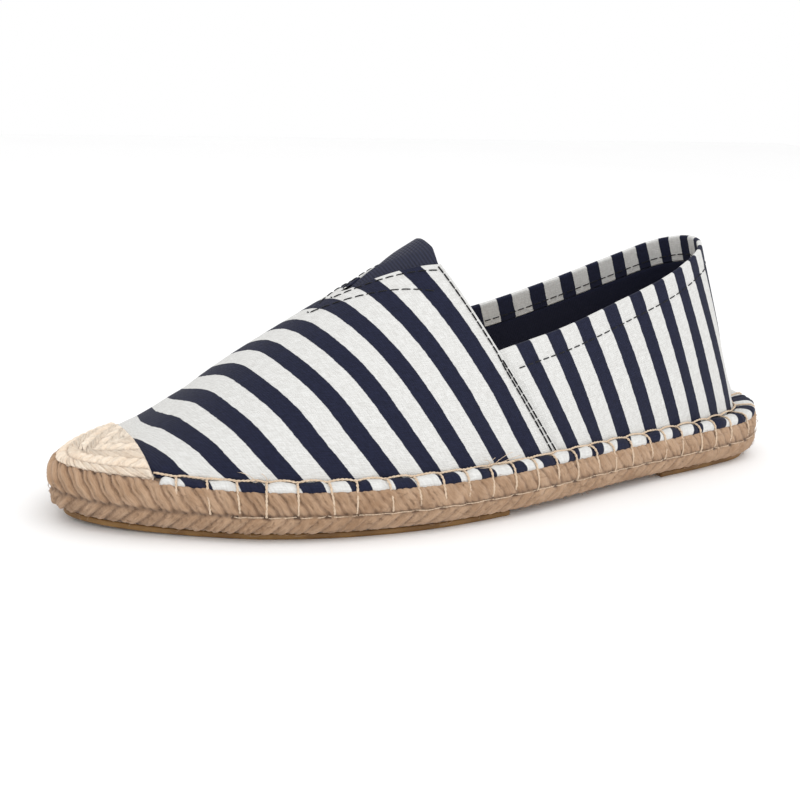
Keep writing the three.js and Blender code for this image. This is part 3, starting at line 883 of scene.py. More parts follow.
def shares_up(top, rib_length):
    """Shares of each rib from the foot to top, crowded in the last millimetres under the edge."""
    reach = np.maximum(top - FINE_EDGE[0] * 1.6 / rib_length, 0)
    near = top[:, None] - FINE_EDGE / rib_length[:, None]
    return np.concatenate([reach[:, None] * np.linspace(0, 1, 55)[:-1], near], 1)


def rib_lengths(surface, u):
    """Length of each whole rib."""
    return runs(surface(*np.meshgrid(u, np.linspace(0, 1, 60), indexing="ij")))[:, -1]


def over_seam(u):
    """How far the vamp stands proud towards its rear edge, where it lies on the quarters."""
    return 0.25 * np.clip(1 - (SEAM - np.abs(u)) * AT_SEAM / 14, 0, 1)


def vamp_side(hand):
    """Outer and inner faces of one side of the vamp, and its cloth measures. Rows and columns crowd
    at the rear edge and at the V, where the faces draw together in a round edge."""
    rows = np.concatenate([np.linspace(0, SEAM - 0.1, 118), SEAM - FINE_EDGE / AT_SEAM])
    top = notch_share(rows, hand)
    whole = rib_lengths(vamp, hand * rows)
    share = shares_up(top, whole)
    u = np.repeat(rows[:, None], share.shape[1], 1) * hand
    base, on_ridge = vamp(u, share), top == 1
    out = ridge_normals(vamp, u, share, on_ridge)
    run = runs(base)
    from_v = np.where(on_ridge[:, None], 99.0, (top[:, None] - share) * whole[:, None])
    round_edge = rounded_edge(np.minimum(from_v, (SEAM - np.abs(u)) * AT_SEAM), CANVAS / 2)
    height = creased(u, share) + gathers(u, run) + under_guard(u) + over_seam(u)
    faces = [below_guard(base + out * (height + offset)[..., None], base, u)
             for offset in (round_edge, -CANVAS - round_edge)]
    for face in faces:
        face[:, 0, 2] = jute_top(base[:, 0, 0]) + GAP
    return *faces, np.stack([vamp_stripe(u, share), run, 0 * run], -1)


class ESPADRILLE_OT_vamp(bpy.types.Operator):
    """Striped vamp with its V notch, from the toe to the side seams"""

    bl_idname = "espadrille.vamp"
    bl_label = "Vamp"
    bl_options = {"REGISTER", "UNDO"}

    def execute(self, context):
        colours = context.scene.espadrille_colours
        blocks = []
        for hand in (1, -1):
            outer, inner, cloth = vamp_side(hand)
            foot = np.stack([outer[:, 0], inner[:, 0]], 1), cloth[:, :2]
            blocks += [(outer, cloth), (inner, cloth), foot]
        piece("vamp_canvas", blocks, striped_canvas(colours), ["upper"], weld=0.02)
        return {"FINISHED"}


def quarter_rows(forward):
    """Section numbers of the quarters' rows, which run on forward under the vamp."""
    return np.linspace(SEAM - forward, FULL_TURN - SEAM + forward, 250)


def under_vamp(u):
    """How far the quarters lie below the last's surface where they run under the vamp's edge."""
    past = np.minimum(u, FULL_TURN - u) - SEAM
    return -1.15 * (1 - eased((past - 0.01) / 0.07))


def back_seam(u):
    """Groove of the centre back seam and the soft welts beside it."""
    side = (u - HALF_TURN) * AT_BACK
    return -0.5 * np.exp(-(side / 0.45) ** 2) + 0.22 * np.exp(-((np.abs(side) - 1.4) / 0.9) ** 2)


def quarter_point(u, share, height):
    """Point of the quarters' outer face moved out by height, with its creases and gathers."""
    base = quarter(u, share)
    out = surface_normal(quarter, u, share)
    foot = quarter(u, 0 * share)
    run = np.linalg.norm(base - foot, axis=-1)
    soft = creased(u, share) * np.clip(1.15 - share, 0, 1) + gathers(u, run) + back_seam(u)
    return base + out * (soft + under_vamp(u) + height)[..., None]


class ESPADRILLE_OT_quarters(bpy.types.Operator):
    """Striped quarters with the collar's hem turned inwards"""

    bl_idname = "espadrille.quarters"
    bl_label = "Quarters"
    bl_options = {"REGISTER", "UNDO"}

    def execute(self, context):
        colours = context.scene.espadrille_colours
        rows = quarter_rows(0.3)
        whole = rib_lengths(quarter, rows)
        hem = np.array([0, 0.15, 0.35, 0.6, 1, 1.6, 3, 5, 7, 8.6, HEM - 0.2, HEM, HEM + 0.25, HEM + 0.6])
        near = 1 - hem / whole[:, None]
        share = np.concatenate([near, near[:, -1:] * np.linspace(1, 0, 46)[1:]], 1)
        u = np.repeat(rows[:, None], share.shape[1], 1)
        depth = (1 - share) * whole[:, None]
        round_edge = rounded_edge(depth, HEM_WALL / 2)
        stitched = -0.22 * np.exp(-((depth - HEM_STITCH) / 0.9) ** 2)
        outer = quarter_point(u, share, round_edge + stitched)
        wall = CANVAS + (HEM_WALL - CANVAS) * (1 - np.clip((depth - HEM) / 0.3, 0, 1))
        inner = quarter_point(u, share, -wall - round_edge)
        inner[:, -1, 2] = outer[:, -1, 2] = jute_top(outer[:, -1, 0]) + GAP
        cloth = np.stack([quarter_stripe(u, share), depth, 0 * depth], -1)
        ends = [(np.stack([outer[k], inner[k]]), cloth[[k, k]]) for k in (0, -1)]
        foot = (np.stack([outer[:, -1], inner[:, -1]], 1), cloth[:, -2:])
        piece("quarter_canvas", [(outer, cloth), (inner, cloth), foot, *ends],
              striped_canvas(colours), ["upper"])
        return {"FINISHED"}


class ESPADRILLE_OT_lining(bpy.types.Operator):
    """Navy cotton lining of the vamp and the quarters"""

    bl_idname = "espadrille.lining"
    bl_label = "Lining"
    bl_options = {"REGISTER", "UNDO"}

    def execute(self, context):
        colours = context.scene.espadrille_colours
        cotton = plain_cotton("lining_cotton", colours.lining, colours.navy)
        rows = quarter_rows(0.0)
        whole = rib_lengths(quarter, rows)
        top = 1 - (HEM + 0.5) / whole
        share = top[:, None] * np.linspace(0.01, 1, 40)
        u = np.repeat(rows[:, None], share.shape[1], 1)
        faces = [quarter_point(u, share, height - under_vamp(u) * 0.6) for height in LINING_FACES]
        cloth = np.stack([u * 24, share * 60, 0 * u], -1)
        piece("quarter_lining", closed_wall(*faces, cloth), cotton, ["upper"])

        rows = np.linspace(0, SEAM - 0.12, 90)
        blocks = []
        for hand in (1, -1):
            top = notch_share(rows, hand)
            top = np.where(top < 1, top - 0.03, 1.0)
            share = top[:, None] * np.linspace(0.02, 1, 36)
            u = np.repeat(rows[:, None], share.shape[1], 1) * hand
            base, beside = vamp(u, share), top < 1
            out = ridge_normals(vamp, u, share, ~beside)
            soft = (creased(u, share) + under_guard(u))[..., None]
            cloth = np.stack([np.abs(u) * 24, share * 70, 0 * u], -1)
            outer, inner = (below_guard(base + out * (soft + height), base, u) for height in LINING_FACES)
            blocks += [(outer, cloth), (inner, cloth),
                       (np.stack([outer[:, 0], inner[:, 0]], 1), cloth[:, :2]),
                       (np.stack([outer[-1], inner[-1]]), cloth[[-1, -1]]),
                       (np.stack([outer[beside, -1], inner[beside, -1]], 1), cloth[beside, :2])]
        piece("vamp_lining", blocks, cotton, ["upper"], weld=0.02)
        return {"FINISHED"}


class ESPADRILLE_OT_gore(bpy.types.Operator):
    """Elastic gore let into the V, swelling a little out of it"""

    bl_idname = "espadrille.gore"
    bl_label = "Gore"
    bl_options = {"REGISTER", "UNDO"}

    def execute(self, context):
        colours = context.scene.espadrille_colours
        throat = SEAM + np.array([0.01, 0.03, 0.05, 0.065, 0.07])
        rows = np.concatenate([np.linspace(6.35, SEAM - 0.02, 60), throat])
        across = np.linspace(-1, 1, 57)
        side = np.where(across >= 0, 1, -1)
        opened = np.stack([1 - notch_share(np.minimum(rows, SEAM), hand) for hand in (-1, 1)])
        opened = opened[(side > 0).astype(int)].T
        share = 1 - (opened + 0.09) * np.abs(across)
        inside = np.clip((opened - (1 - share)) / 0.10, 0, 1)
        past = np.maximum(0, rows - SEAM + 0.02)[:, None]
        u = side * (rows[:, None] - past * (1 - inside))
        base, out = vamp(u, share), surface_normal(vamp, u, share)
        middle = across == 0
        out[:, middle] = unit(out[:, middle] + surface_normal(vamp, -u[:, middle], share[:, middle]))
        height = 1.75 * eased(inside) * (opened > 0) - CANVAS - 0.1
        end = rounded_edge((rows[-1] - rows) * 24.0, GORE_WALL / 2)[:, None]
        outer = base + out * (height + end)[..., None]
        inner = base + out * (height - GORE_WALL - end)[..., None]
        length = np.interp(np.abs(u), RIDGE_U, RIDGE_LENGTH)
        cloth = np.stack([length, (1 - share) * side * 62, 0 * u], -1)
        piece("gore_elastic", closed_wall(outer, inner, cloth), elastic(colours), ["gore"])
        return {"FINISHED"}


# ---- sole ------------------------------------------------------------------------------------

SIDE_PADDED = np.vstack([SIDE[0] + (1.5, 0), SIDE, SIDE[-1] + (3, 0), SIDE[-1] + (6, 0)])
# 1 for the profile's rows whose inset follows the ledge, 0 for those below.
ON_LEDGE = np.array([1.0, 1.0] + [0.0] * (len(SIDE) + 1))


def side_point(u, t, height=0.0):
    """Point of the sole's side at section u and row t of its profile, moved out by height.

    The inset is a smooth curve through the profile's rows, the first of them on the foot line."""

    def place(rows):
        inset, share = np.moveaxis(through(SIDE_PADDED, -1, rows), -1, 0)
        return inset + through(ON_LEDGE, -1, rows) * (outline(u)[2] - SIDE[0, 0]), share * JUTE

    step = 0.02
    inset, level = place(t)
    more_inset, more_level = place(t + step)
    less_inset, less_level = place(t - step)
    down, away = more_level - less_level, less_inset - more_inset
    size = np.maximum(np.hypot(down, away), 1e-9)
    outwards = outline(u)[1]
    flat = outline_point(u, inset - height * (-down / size))
    flat[..., 2] = jute_bottom(flat[..., 0]) + level + height * away / size
    normal = outwards * (-down / size)[..., None] + np.array([0, 0, 1.0]) * (away / size)[..., None]
    return flat, normal


# Length of the sole's edge, and the strands of the braid that fit into it.
ROUND = EDGE_LENGTH[-1]
STRANDS = round(ROUND / STRAND_PITCH)
PITCH = ROUND / STRANDS


def half_round(phase):
    """Height of round strands side by side: half circles, one for each whole number of phase."""
    part = 2 * np.mod(phase, 1) - 1
    return np.sqrt(np.maximum(0, 1 - part**2))


def braid(along, down, row_height, pitch, slope=0.85):
    """Relief from 0 to 1 of plaited strands, and measures across and along each strand.

    The strands lean one way in even rows and the other way in odd ones, each of two yarns, and
    sink between the rows."""
    row = np.floor(down / row_height)
    part = down / row_height - row - 0.5
    lean = np.where(row % 2 == 0, -1, 1)
    turn = 2 * np.pi * along / ROUND
    wander = 0.30 * np.sin(turn * 31) + 0.22 * np.sin(turn * 73 + down)
    phase = (along + wander + lean * slope * part * row_height) / pitch + 0.37 * row
    strand, yarn = half_round(phase), half_round(phase * 2 + 0.25)
    belly = np.maximum(0, 1 - (2 * np.abs(part)) ** 3.2) ** 0.5
    plump = 0.86 + 0.14 * np.sin(np.mod(np.floor(phase), STRANDS) * 12.9 + 3 * row)
    relief = belly * plump * (0.02 + 0.42 * strand + 0.56 * yarn * (0.35 + 0.65 * strand))
    return relief, phase * pitch, down * 1.3 + 40 * row


def near_edge(points):
    """Distance of points from the sole's outline, and the length along it of the nearest place."""
    places, lengths = EDGE[::6, :2], EDGE_LENGTH[::6]
    flat = points[..., :2].reshape(-1, 2)
    parts = np.array_split(flat, 60)
    nearest = np.concatenate([((part[:, None] - places) ** 2).sum(-1).argmin(1) for part in parts])
    distance = np.linalg.norm(flat - places[nearest], axis=1)
    return distance.reshape(points.shape[:-1]), lengths[nearest].reshape(points.shape[:-1])


class ESPADRILLE_OT_sole(bpy.types.Operator):
    """Jute sole: plaited sides and the coiled plait of its underside"""

    bl_idname = "espadrille.sole"
    bl_label = "Jute sole"
    bl_options = {"REGISTER", "UNDO"}

    def execute(self, context):
        sizes = context.scene.espadrille_sizes
        colours = context.scene.espadrille_colours
        depth = sizes.braid_relief / MM
        half = np.linspace(0, HALF_TURN, 621)
        profile = np.linspace(0, len(SIDE) - 1, 35)
        blocks, rims = [], {}
        for hand in (1, -1):
            grid_u, grid_t = np.meshgrid(hand * half, profile, indexing="ij")
            flat, _ = side_point(grid_u, grid_t)
            # down the side from the corner of the top, the same all round
            down = runs(flat[300])
            down = np.broadcast_to(down - down[np.argmin(np.abs(profile - 1))], grid_u.shape)
            along = np.interp(np.mod(grid_u, FULL_TURN), EDGE_U, EDGE_LENGTH)
            along = np.where((hand < 0) & (grid_u == 0), ROUND, along)
            rows = np.interp(down, [-8.0, 0.0, 8.8, 15.0], [-8.0, 0.2, BRAID_ROW, 2 * BRAID_ROW])
            relief, across, length = braid(along, rows, BRAID_ROW, PITCH)
            # the braid is clearest at the toe and matted behind
            calm = np.interp(np.abs(grid_u), [0, 3, 6, HALF_TURN], [1.25, 1.1, 0.72, 0.66])
            # no relief on the two rims and under the hem roll
            edge = np.clip(grid_t / 0.9, 0, 1) * np.clip((len(SIDE) - 1 - grid_t) / 0.5, 0, 1)
            past_roll = np.clip((grid_t - roll_reach(grid_u) + 0.35) / 0.5, 0, 1)
            past_roll = np.where(np.abs(grid_u) > ROLL_FROM - 0.1, past_roll, 1)
            height = ((relief - 0.35) * depth * calm + 0.2) * edge * past_roll
            # pits where the low thread dips in at each blanket stitch, sunk a little and darkened with
            # painted shade
            dash = np.mod(np.interp(grid_u, FOOT_U, FOOT_LENGTH) / STITCH_PITCH + 0.12, 1) < 0.26
            low = np.abs(grid_t - STITCH_LOW - 0.1) < 0.08
            hole = dash & low & (np.abs(grid_u) > THREAD_FROM)
            points, _ = side_point(grid_u, grid_t, height - 0.35 * hole)
            # relief attribute for the painted shade: dark in the pits and between strands, lighter where
            # the braid is matted
            painted_light_level = np.where(hole, 0.1, 0.1 + 0.9 * relief + 0.22 * np.maximum(0, 1 - calm))
            blocks.append((points, np.stack([across, length, painted_light_level], -1)))
            rims[hand] = points
        under = between(rims[1][:, -1], rims[-1][:, -1], 41)
        distance, along = near_edge(under)
        relief, across, length = braid(along, distance, 7.0, PITCH)
        mix = np.linspace(0, 1, 41)
        inner = np.clip(np.minimum(mix, 1 - mix) * 12, 0, 1)
        under[..., 2] -= (relief - 0.6) * 0.9 * inner * np.clip(distance / 4, 0, 1)
        under[..., 2] = np.maximum(under[..., 2], RUBBER + 0.05)
        # the relief attribute paints shade between the underside's strands
        blocks.append((under, np.stack([across, length, 0.3 + 0.6 * relief], -1)))
        over = between(rims[1][:, 0], rims[-1][:, 0], 9)
        # an even half of the painted shade on the top face
        blocks.append((over, flat_cloth(over) + (0, 0, 0.5)))
        finish = jute("jute_braid", colours.jute, colours.jute_middle, colours.jute_shade_and_dark_fibres)
        piece("jute_sole", blocks, finish, ["midsole"])
        return {"FINISHED"}


def guard_rear(share, hand):
    """Section number at which each share of the guard's ribs meets its leaning rear edge."""
    lean = np.radians(GUARD_EDGE_LEAN)
    ahead = np.array([np.cos(lean), 0, -np.sin(lean)])
    place = vamp(np.array([GUARD_SECTION]), np.ones(1))[0]
    sections = np.linspace(1.2, 4.6, 341)
    grid_s, grid_u = np.meshgrid(share, sections, indexing="ij")
    behind = (guard(hand * grid_u, grid_s) - place) @ ahead < 0
    return sections[np.argmax(behind, axis=1)]


class ESPADRILLE_OT_guard(bpy.types.Operator):
    """Plaited jute guard over the toe, its border lying over the sole's edge"""

    bl_idname = "espadrille.guard"
    bl_label = "Toe guard"
    bl_options = {"REGISTER", "UNDO"}

    def execute(self, context):
        sizes = context.scene.espadrille_sizes
        colours = context.scene.espadrille_colours
        depth = sizes.guard_relief / MM
        wall = 1.9
        border = np.linspace(0, 1, 11)[:-1]  # from the sole's edge in to the guard's foot line
        count = len(border)
        shares = np.concatenate([0 * border, np.linspace(0, 1, 76)])
        # from the toe tip to the rear edge, crowded at the edge
        part = np.concatenate([np.linspace(0, 0.97, 120), [0.98, 0.988, 0.993, 0.997, 1.0]])
        blocks = []
        for hand in (1, -1):
            rear = guard_rear(shares, hand)
            u = hand * part[:, None] * rear
            share = np.broadcast_to(shares, u.shape)
            base, out = guard(u, share), ridge_normals(guard, u, np.maximum(share, 0.01))
            near = u[:, :count]
            edge = outline_point(near, guard_ledge(near) * border + 0.9 * (1 - border))
            edge[..., 2] = jute_top(edge[..., 0]) + GAP - 0.6 * (1 - border)
            base[:, :count] = edge
            out[:, :count] = unit(outline(near)[1] + np.array([0, 0, 0.5]) * border[:, None] ** 2)
            run = runs(base)
            along = hand * np.interp(np.abs(u), EDGE_U, EDGE_LENGTH) * (1 - run / 90)
            relief, across, length = braid(along, run + 4.6, 4.9, PITCH * 0.75, 1.0)
            relief = 0.5 + (relief - 0.5) * np.clip((run[:, -1:] - run) / 1.2, 0, 1)
            behind = (1 - part[:, None]) * rear * AT_GUARD
            height = np.maximum((relief - 0.65) * depth, -0.75) * np.clip(behind / 1.5, 0.25, 1)
            height = height - 0.7 * np.exp(-((run / 2.6) ** 2))
            end = rounded_edge(behind, wall / 2) + rounded_edge(run, 0.8)
            outer = base + out * (height + end + 0.1)[..., None]
            inner = base - out * wall
            inner[:, :count] = base[:, :count] - out[:, :count] * 0.9
            # third measure, the relief attribute: painted shade between the guard's strands, and the full
            # painted shade on the inner face
            tone = np.stack([across, length, 0.3 + 0.7 * relief], -1)
            blocks += [(outer, tone), (inner, tone * (1, 1, 0))]
            blocks += [(np.stack([outer[-1], inner[-1]]), tone[[-1, -1]]),
                       (np.stack([outer[:, 0], inner[:, 0]], 1), tone[:, [0, 0]])]
        finish = jute("jute_guard", colours.guard, colours.guard_middle, colours.guard_shade_and_dark_fibres)
        piece("toe_guard_braid", blocks, finish, ["toe_guard"])
        return {"FINISHED"}


def slab_sides(rows, inset, rim, foot_height):
    """Outer and inner side of a slab: the outline drawn in, one level for each inset and height of
    its rim, over a foot height that varies along the shoe."""
    sides = []
    for hand in (1, -1):
        levels = np.stack([outline_point(hand * rows, inset(hand * rows) + more) for more, _ in rim], 1)
        levels[..., 2] = foot_height(levels[..., 0]) + np.array(rim)[:, 1]
        sides.append(levels)
    return sides


def pad(low, high, name, node, finish):
    """One rubber pad between two section numbers, with fine grooves across its underside: the
    upper halves of a cosine along the shoe."""
    rim = [(0.5, 0.0), (0.15, 0.1), (0, 0.4), (0, 1.4), (0.12, 1.66), (0.4, RUBBER)]
    rows = np.linspace(low, high, 261)
    outer, inner = slab_sides(rows, lambda u: RUBBER_INSET + 0 * u, rim, rise)
    under, over = between(outer[:, 0], inner[:, 0], 33), between(outer[:, -1], inner[:, -1], 33)
    mix = np.linspace(0, 1, 33)
    grooves = np.maximum(0, -np.cos(2 * np.pi * under[..., 0] / 3.4))
    under[..., 2] += grooves * 0.45 * np.clip(np.minimum(mix, 1 - mix) * 16, 0, 1)
    grids = [outer, inner, under, over]
    for k, end in ((0, low), (-1, high)):
        if end not in (0, HALF_TURN):
            face = between(outer[k], inner[k], 33)
            face[0], face[-1] = under[k], over[k]
            grids.append(face)
    blocks = [(grid, flat_cloth(grid)) for grid in grids]
    piece(name, blocks, finish, [node])


class ESPADRILLE_OT_outsoles(bpy.types.Operator):
    """Gum-rubber pads under the forefoot and the heel"""

    bl_idname = "espadrille.outsoles"
    bl_label = "Rubber outsoles"
    bl_options = {"REGISTER", "UNDO"}

    def execute(self, context):
        colours = context.scene.espadrille_colours
        finish = gum_rubber(colours)
        pad(0, 7.15, "rubber_forefoot", "outsole_forefoot", finish)
        pad(10.05, HALF_TURN, "rubber_heel", "outsole_heel", finish)
        return {"FINISHED"}


class ESPADRILLE_OT_insole(bpy.types.Operator):
    """Canvas sock on the jute, a little dished where the foot presses"""

    bl_idname = "espadrille.insole"
    bl_label = "Insole"
    bl_options = {"REGISTER", "UNDO"}

    def execute(self, context):
        colours = context.scene.espadrille_colours
        rim = [(0, 0), (0, 1.3), (0.15, 1.75), (0.6, 2)]
        outer, inner = slab_sides(np.linspace(0, HALF_TURN, 241), lambda u: outline(u)[3], rim,
                                  lambda x: jute_top(x) + GAP)
        under, over = between(outer[:, 0], inner[:, 0], 9), between(outer[:, -1], inner[:, -1], 41)
        heel, ball = (np.exp(-((over[..., 0] - x) / reach) ** 2) for x, reach in ((30, 26), (185, 30)))
        over[..., 2] -= 0.8 * np.sin(np.pi * np.linspace(0, 1, 41)) * (heel + 0.8 * ball)
        blocks = [(grid, flat_cloth(grid)) for grid in (outer, inner, over, under)]
        finish = plain_cotton("insole_canvas", colours.insole, colours.guard_middle, 0.9)
        piece("insole_sock", blocks, finish, ["insole"])
        return {"FINISHED"}


# ---- hem roll and stitching ------------------------------------------------------------------


def from_toe(u):
    """Sections between a place and the toe tip, the shorter way round."""
    return np.minimum(np.mod(u, FULL_TURN), FULL_TURN - np.mod(u, FULL_TURN))


def from_stitch(u):
    """Distance along the foot line from the nearest blanket stitch."""
    part = np.mod(np.interp(u, FOOT_U, FOOT_LENGTH) / STITCH_PITCH, 1)
    return np.minimum(part, 1 - part) * STITCH_PITCH


def roll_reach(u):
    """Row of the sole's profile down to which the hem roll lies, less at the toe."""
    return np.interp(from_toe(u), [2.6, 3.5, 4.5, 6, 9, HALF_TURN], [1.9, 2.05, 2.15, 2.3, 2.4, 2.3])


def roll_point(u, part, puff, height):
    """Point of the hem roll: out of the sole's profile by a rounded puff, a root of a half sine
    wave across it, pinched at the stitches and a little lumpy."""
    t = 0.1 + (roll_reach(u) - 0.1) * part
    size = puff * np.interp(from_toe(u), [2.6, 3.5, 5, 9, HALF_TURN], [0.9, 1.0, 1.1, 1.1, 0.9])
    pinch = 1 - 0.62 * np.exp(-(from_stitch(u) / 1.15) ** 2)
    lump = 1 + 0.14 * np.sin(u * 9.7) + 0.1 * np.sin(u * 23.1 + 1)
    belly = np.sin(np.pi * np.clip(part, 0, 1)) ** 0.55
    return side_point(u, t, 0.25 + size * pinch * lump * belly + height)


class ESPADRILLE_OT_roll(bpy.types.Operator):
    """Puffy hem of striped canvas that the blanket stitches hold down on the sole's edge"""

    bl_idname = "espadrille.roll"
    bl_label = "Hem roll"
    bl_options = {"REGISTER", "UNDO"}

    def execute(self, context):
        sizes = context.scene.espadrille_sizes
        colours = context.scene.espadrille_colours
        puff = sizes.roll_height / MM
        rows = np.linspace(ROLL_FROM, FULL_TURN - ROLL_FROM, 760)
        part = np.linspace(0, 1, 17)
        u, across = np.meshgrid(rows, part, indexing="ij")
        ends = np.minimum(u - ROLL_FROM, FULL_TURN - ROLL_FROM - u) * 20
        taper = np.sqrt(np.clip(ends / 1.2, 0, 1))
        outer, _ = roll_point(u, across, puff * taper, 0)
        inner, _ = roll_point(u, across, 0, -0.6)
        signed = np.where(u > HALF_TURN, u - FULL_TURN, u)
        on_vamp, on_quarters = vamp_stripe(signed, 0.1 + 0 * u), quarter_stripe(u, 0.05 + 0 * u)
        stripe = np.where(from_toe(u) < SEAM, on_vamp, on_quarters)
        shift = 2.2 * across + 0.9 * np.sin(u * 3.1) + 1.5
        cloth = np.stack([stripe + shift, across * 6, 0 * u], -1)
        piece("hem_roll", closed_wall(outer, inner, cloth), striped_canvas(colours))
        return {"FINISHED"}


def foot_stitches():
    """Section numbers of the blanket stitches from the guard round the heel to the guard."""
    start, end = np.interp([ROLL_FROM + 0.08, FULL_TURN - ROLL_FROM - 0.08], FOOT_U, FOOT_LENGTH)
    numbers = np.arange(np.ceil(start / STITCH_PITCH), np.floor(end / STITCH_PITCH) + 1)
    return np.interp(numbers * STITCH_PITCH, FOOT_LENGTH, FOOT_U)


class ESPADRILLE_OT_blanket(bpy.types.Operator):
    """Cream blanket stitches over the hem roll, the thread along its top and the one half way down"""

    bl_idname = "espadrille.blanket"
    bl_label = "Blanket stitching"
    bl_options = {"REGISTER", "UNDO"}

    def execute(self, context):
        sizes = context.scene.espadrille_sizes
        colours = context.scene.espadrille_colours
        radius = sizes.blanket_thread / MM
        puff = sizes.roll_height / MM
        cream = thread("blanket_thread", colours.cream, colours.cream_shade)
        chance = np.random.default_rng(7)
        at = foot_stitches()
        ahead, behind = (np.interp(at + half, FOOT_U, FOOT_LENGTH) for half in (0.5, -0.5))
        slant = (chance.uniform(-0.7, 0.7, len(at)) + 0.5) / (ahead - behind)
        steps = np.concatenate([np.linspace(-0.06, 1, 15), np.linspace(1, 2, 9)[1:]])
        drop = np.clip(steps - 1, 0, 1)
        u = at[:, None] + slant[:, None] * steps
        on_roll, _ = roll_point(u, np.minimum(steps, 1) + 0 * u, puff, radius * 0.9)
        reach = chance.uniform(3.75, 4.25, len(at))[:, None]
        t = roll_reach(u) + (reach - roll_reach(u)) * drop
        lift = 0.25 + radius * 0.9 + 0.25 * np.sin(np.pi * drop) - 1.0 * drop**6
        on_side, normal = side_point(u, t, lift + 0 * u)
        paths = np.where((steps > 1)[:, None], on_side, on_roll)
        piece("blanket_stitches", twisted(paths, normal, radius, 2.6), cream)

        rows = np.linspace(ROLL_FROM - 0.12, FULL_TURN - ROLL_FROM + 0.12, 900)[None]
        _, outwards, ledge, _ = outline(rows)
        slack = 1 - np.exp(-(from_stitch(rows) / 1.6) ** 2)
        line = outline_point(rows, ledge - 0.55)
        line[..., 2] = jute_top(line[..., 0]) + GAP + 1.1 + 0.35 * slack + 0.12 * np.sin(rows * 17)
        piece("feather_thread", twisted(line, outwards, radius * 0.95, 2.6), cream)

        rows = np.linspace(THREAD_FROM, FULL_TURN - THREAD_FROM, 900)[None]
        wave = 0.22 * np.sin(rows * 13) + 0.15 * np.sin(rows * 29)
        dip = np.exp(-(from_stitch(rows) / 0.9) ** 2)
        line, normal = side_point(rows, STITCH_LOW + 0.1 * wave, 0.32 - 0.5 * dip + 0.15 * wave)
        piece("side_thread", twisted(line, normal, radius * 0.45, 2.0), cream)
        return {"FINISHED"}


def vamp_face(u, share):
    """Point of the vamp's outer face and its direction outwards."""
    base, out = vamp(u, share), surface_normal(vamp, u, share)
    run = np.linalg.norm(base - vamp(u, 0 * share), axis=-1)
    return base + out * (creased(u, share) + gathers(u, run) + over_seam(u))[..., None], out


class ESPADRILLE_OT_topstitch(bpy.types.Operator):
    """Black machine stitching of the V, the throat, the side seams, the collar and the back seam"""

    bl_idname = "espadrille.topstitch"
    bl_label = "Topstitching"
    bl_options = {"REGISTER", "UNDO"}

    def execute(self, context):
        sizes = context.scene.espadrille_sizes
        colours = context.scene.espadrille_colours
        radius = sizes.seam_thread / MM
        blocks = []
        for hand in (1, -1):
            rows_of_v = (NOTCH_LENGTH + 4.5, 12.3, SEAM - 0.1), (42, 18.5, SEAM - 0.35)
            for v_length, v_half_width, last in rows_of_v:
                u = np.linspace(5.6, last, 240)
                share = notch_share(u, hand, v_length, v_half_width)
                u, share = u[share < 0.985], share[share < 0.985]
                blocks += stitch_row(*vamp_face(hand * u, share), 2.9, 0.45, radius)
                across = np.linspace(share[0], 1, 8)
                blocks += stitch_row(*vamp_face(hand * u[0] + 0 * across, across), 2.9, 0.45, radius)
            throat = notch_share(np.array([SEAM - 0.1]), hand)[0]
            behind = (0, JUNCTION_SHARE - 0.06, JUNCTION_SHARE, 1), (3.0, 2.2, 1.5, 1.9)
            before = (0, JUNCTION_SHARE), (1.3, 1.1)
            seams = (throat - 0.02, 160, behind), (JUNCTION_SHARE - 0.03, 90, before)
            for top, count, (at, inset) in seams:
                share = np.linspace(0.02, top, count)
                line, out = vamp_face(hand * (SEAM - np.interp(share, at, inset) / AT_SEAM), share)
                blocks += stitch_row(line, out, 2.9, 0.02, radius * 1.3, 0.15)
        u = np.linspace(SEAM + 0.12, FULL_TURN - SEAM - 0.12, 500)
        whole = rib_lengths(quarter, u)
        for depth, height, facing in ((HEM_STITCH, -0.2, 1), (HEM_STITCH - 0.5, -HEM_WALL, -1)):
            share = 1 - depth / whole
            out = facing * surface_normal(quarter, u, share)
            blocks += stitch_row(quarter_point(u, share, height), out, 2.9, 0.45, radius)
        black = thread("black_thread", colours.black, colours.black_shade)
        piece("black_topstitching", blocks, black)

        up, level = np.linspace(0.12, 0.97, 60), np.zeros(9)
        rows = [(HALF_TURN + side / AT_BACK + 0 * up, up, 2.2, 0.9, radius * 0.8) for side in (-1.6, 1.6)]
        bar = HALF_TURN + np.linspace(-2.4, 2.4, 9) / AT_BACK
        rows += [(bar, 1 - depth / whole[250] + level, 4.4, 0.2, radius) for depth in (1.6, 2.4, 3.2)]
        tack = []
        for u, share, *stitch in rows:
            tack += stitch_row(quarter_point(u, share, 0.0), surface_normal(quarter, u, share), *stitch)
        piece("back_tack", tack, black)
        return {"FINISHED"}


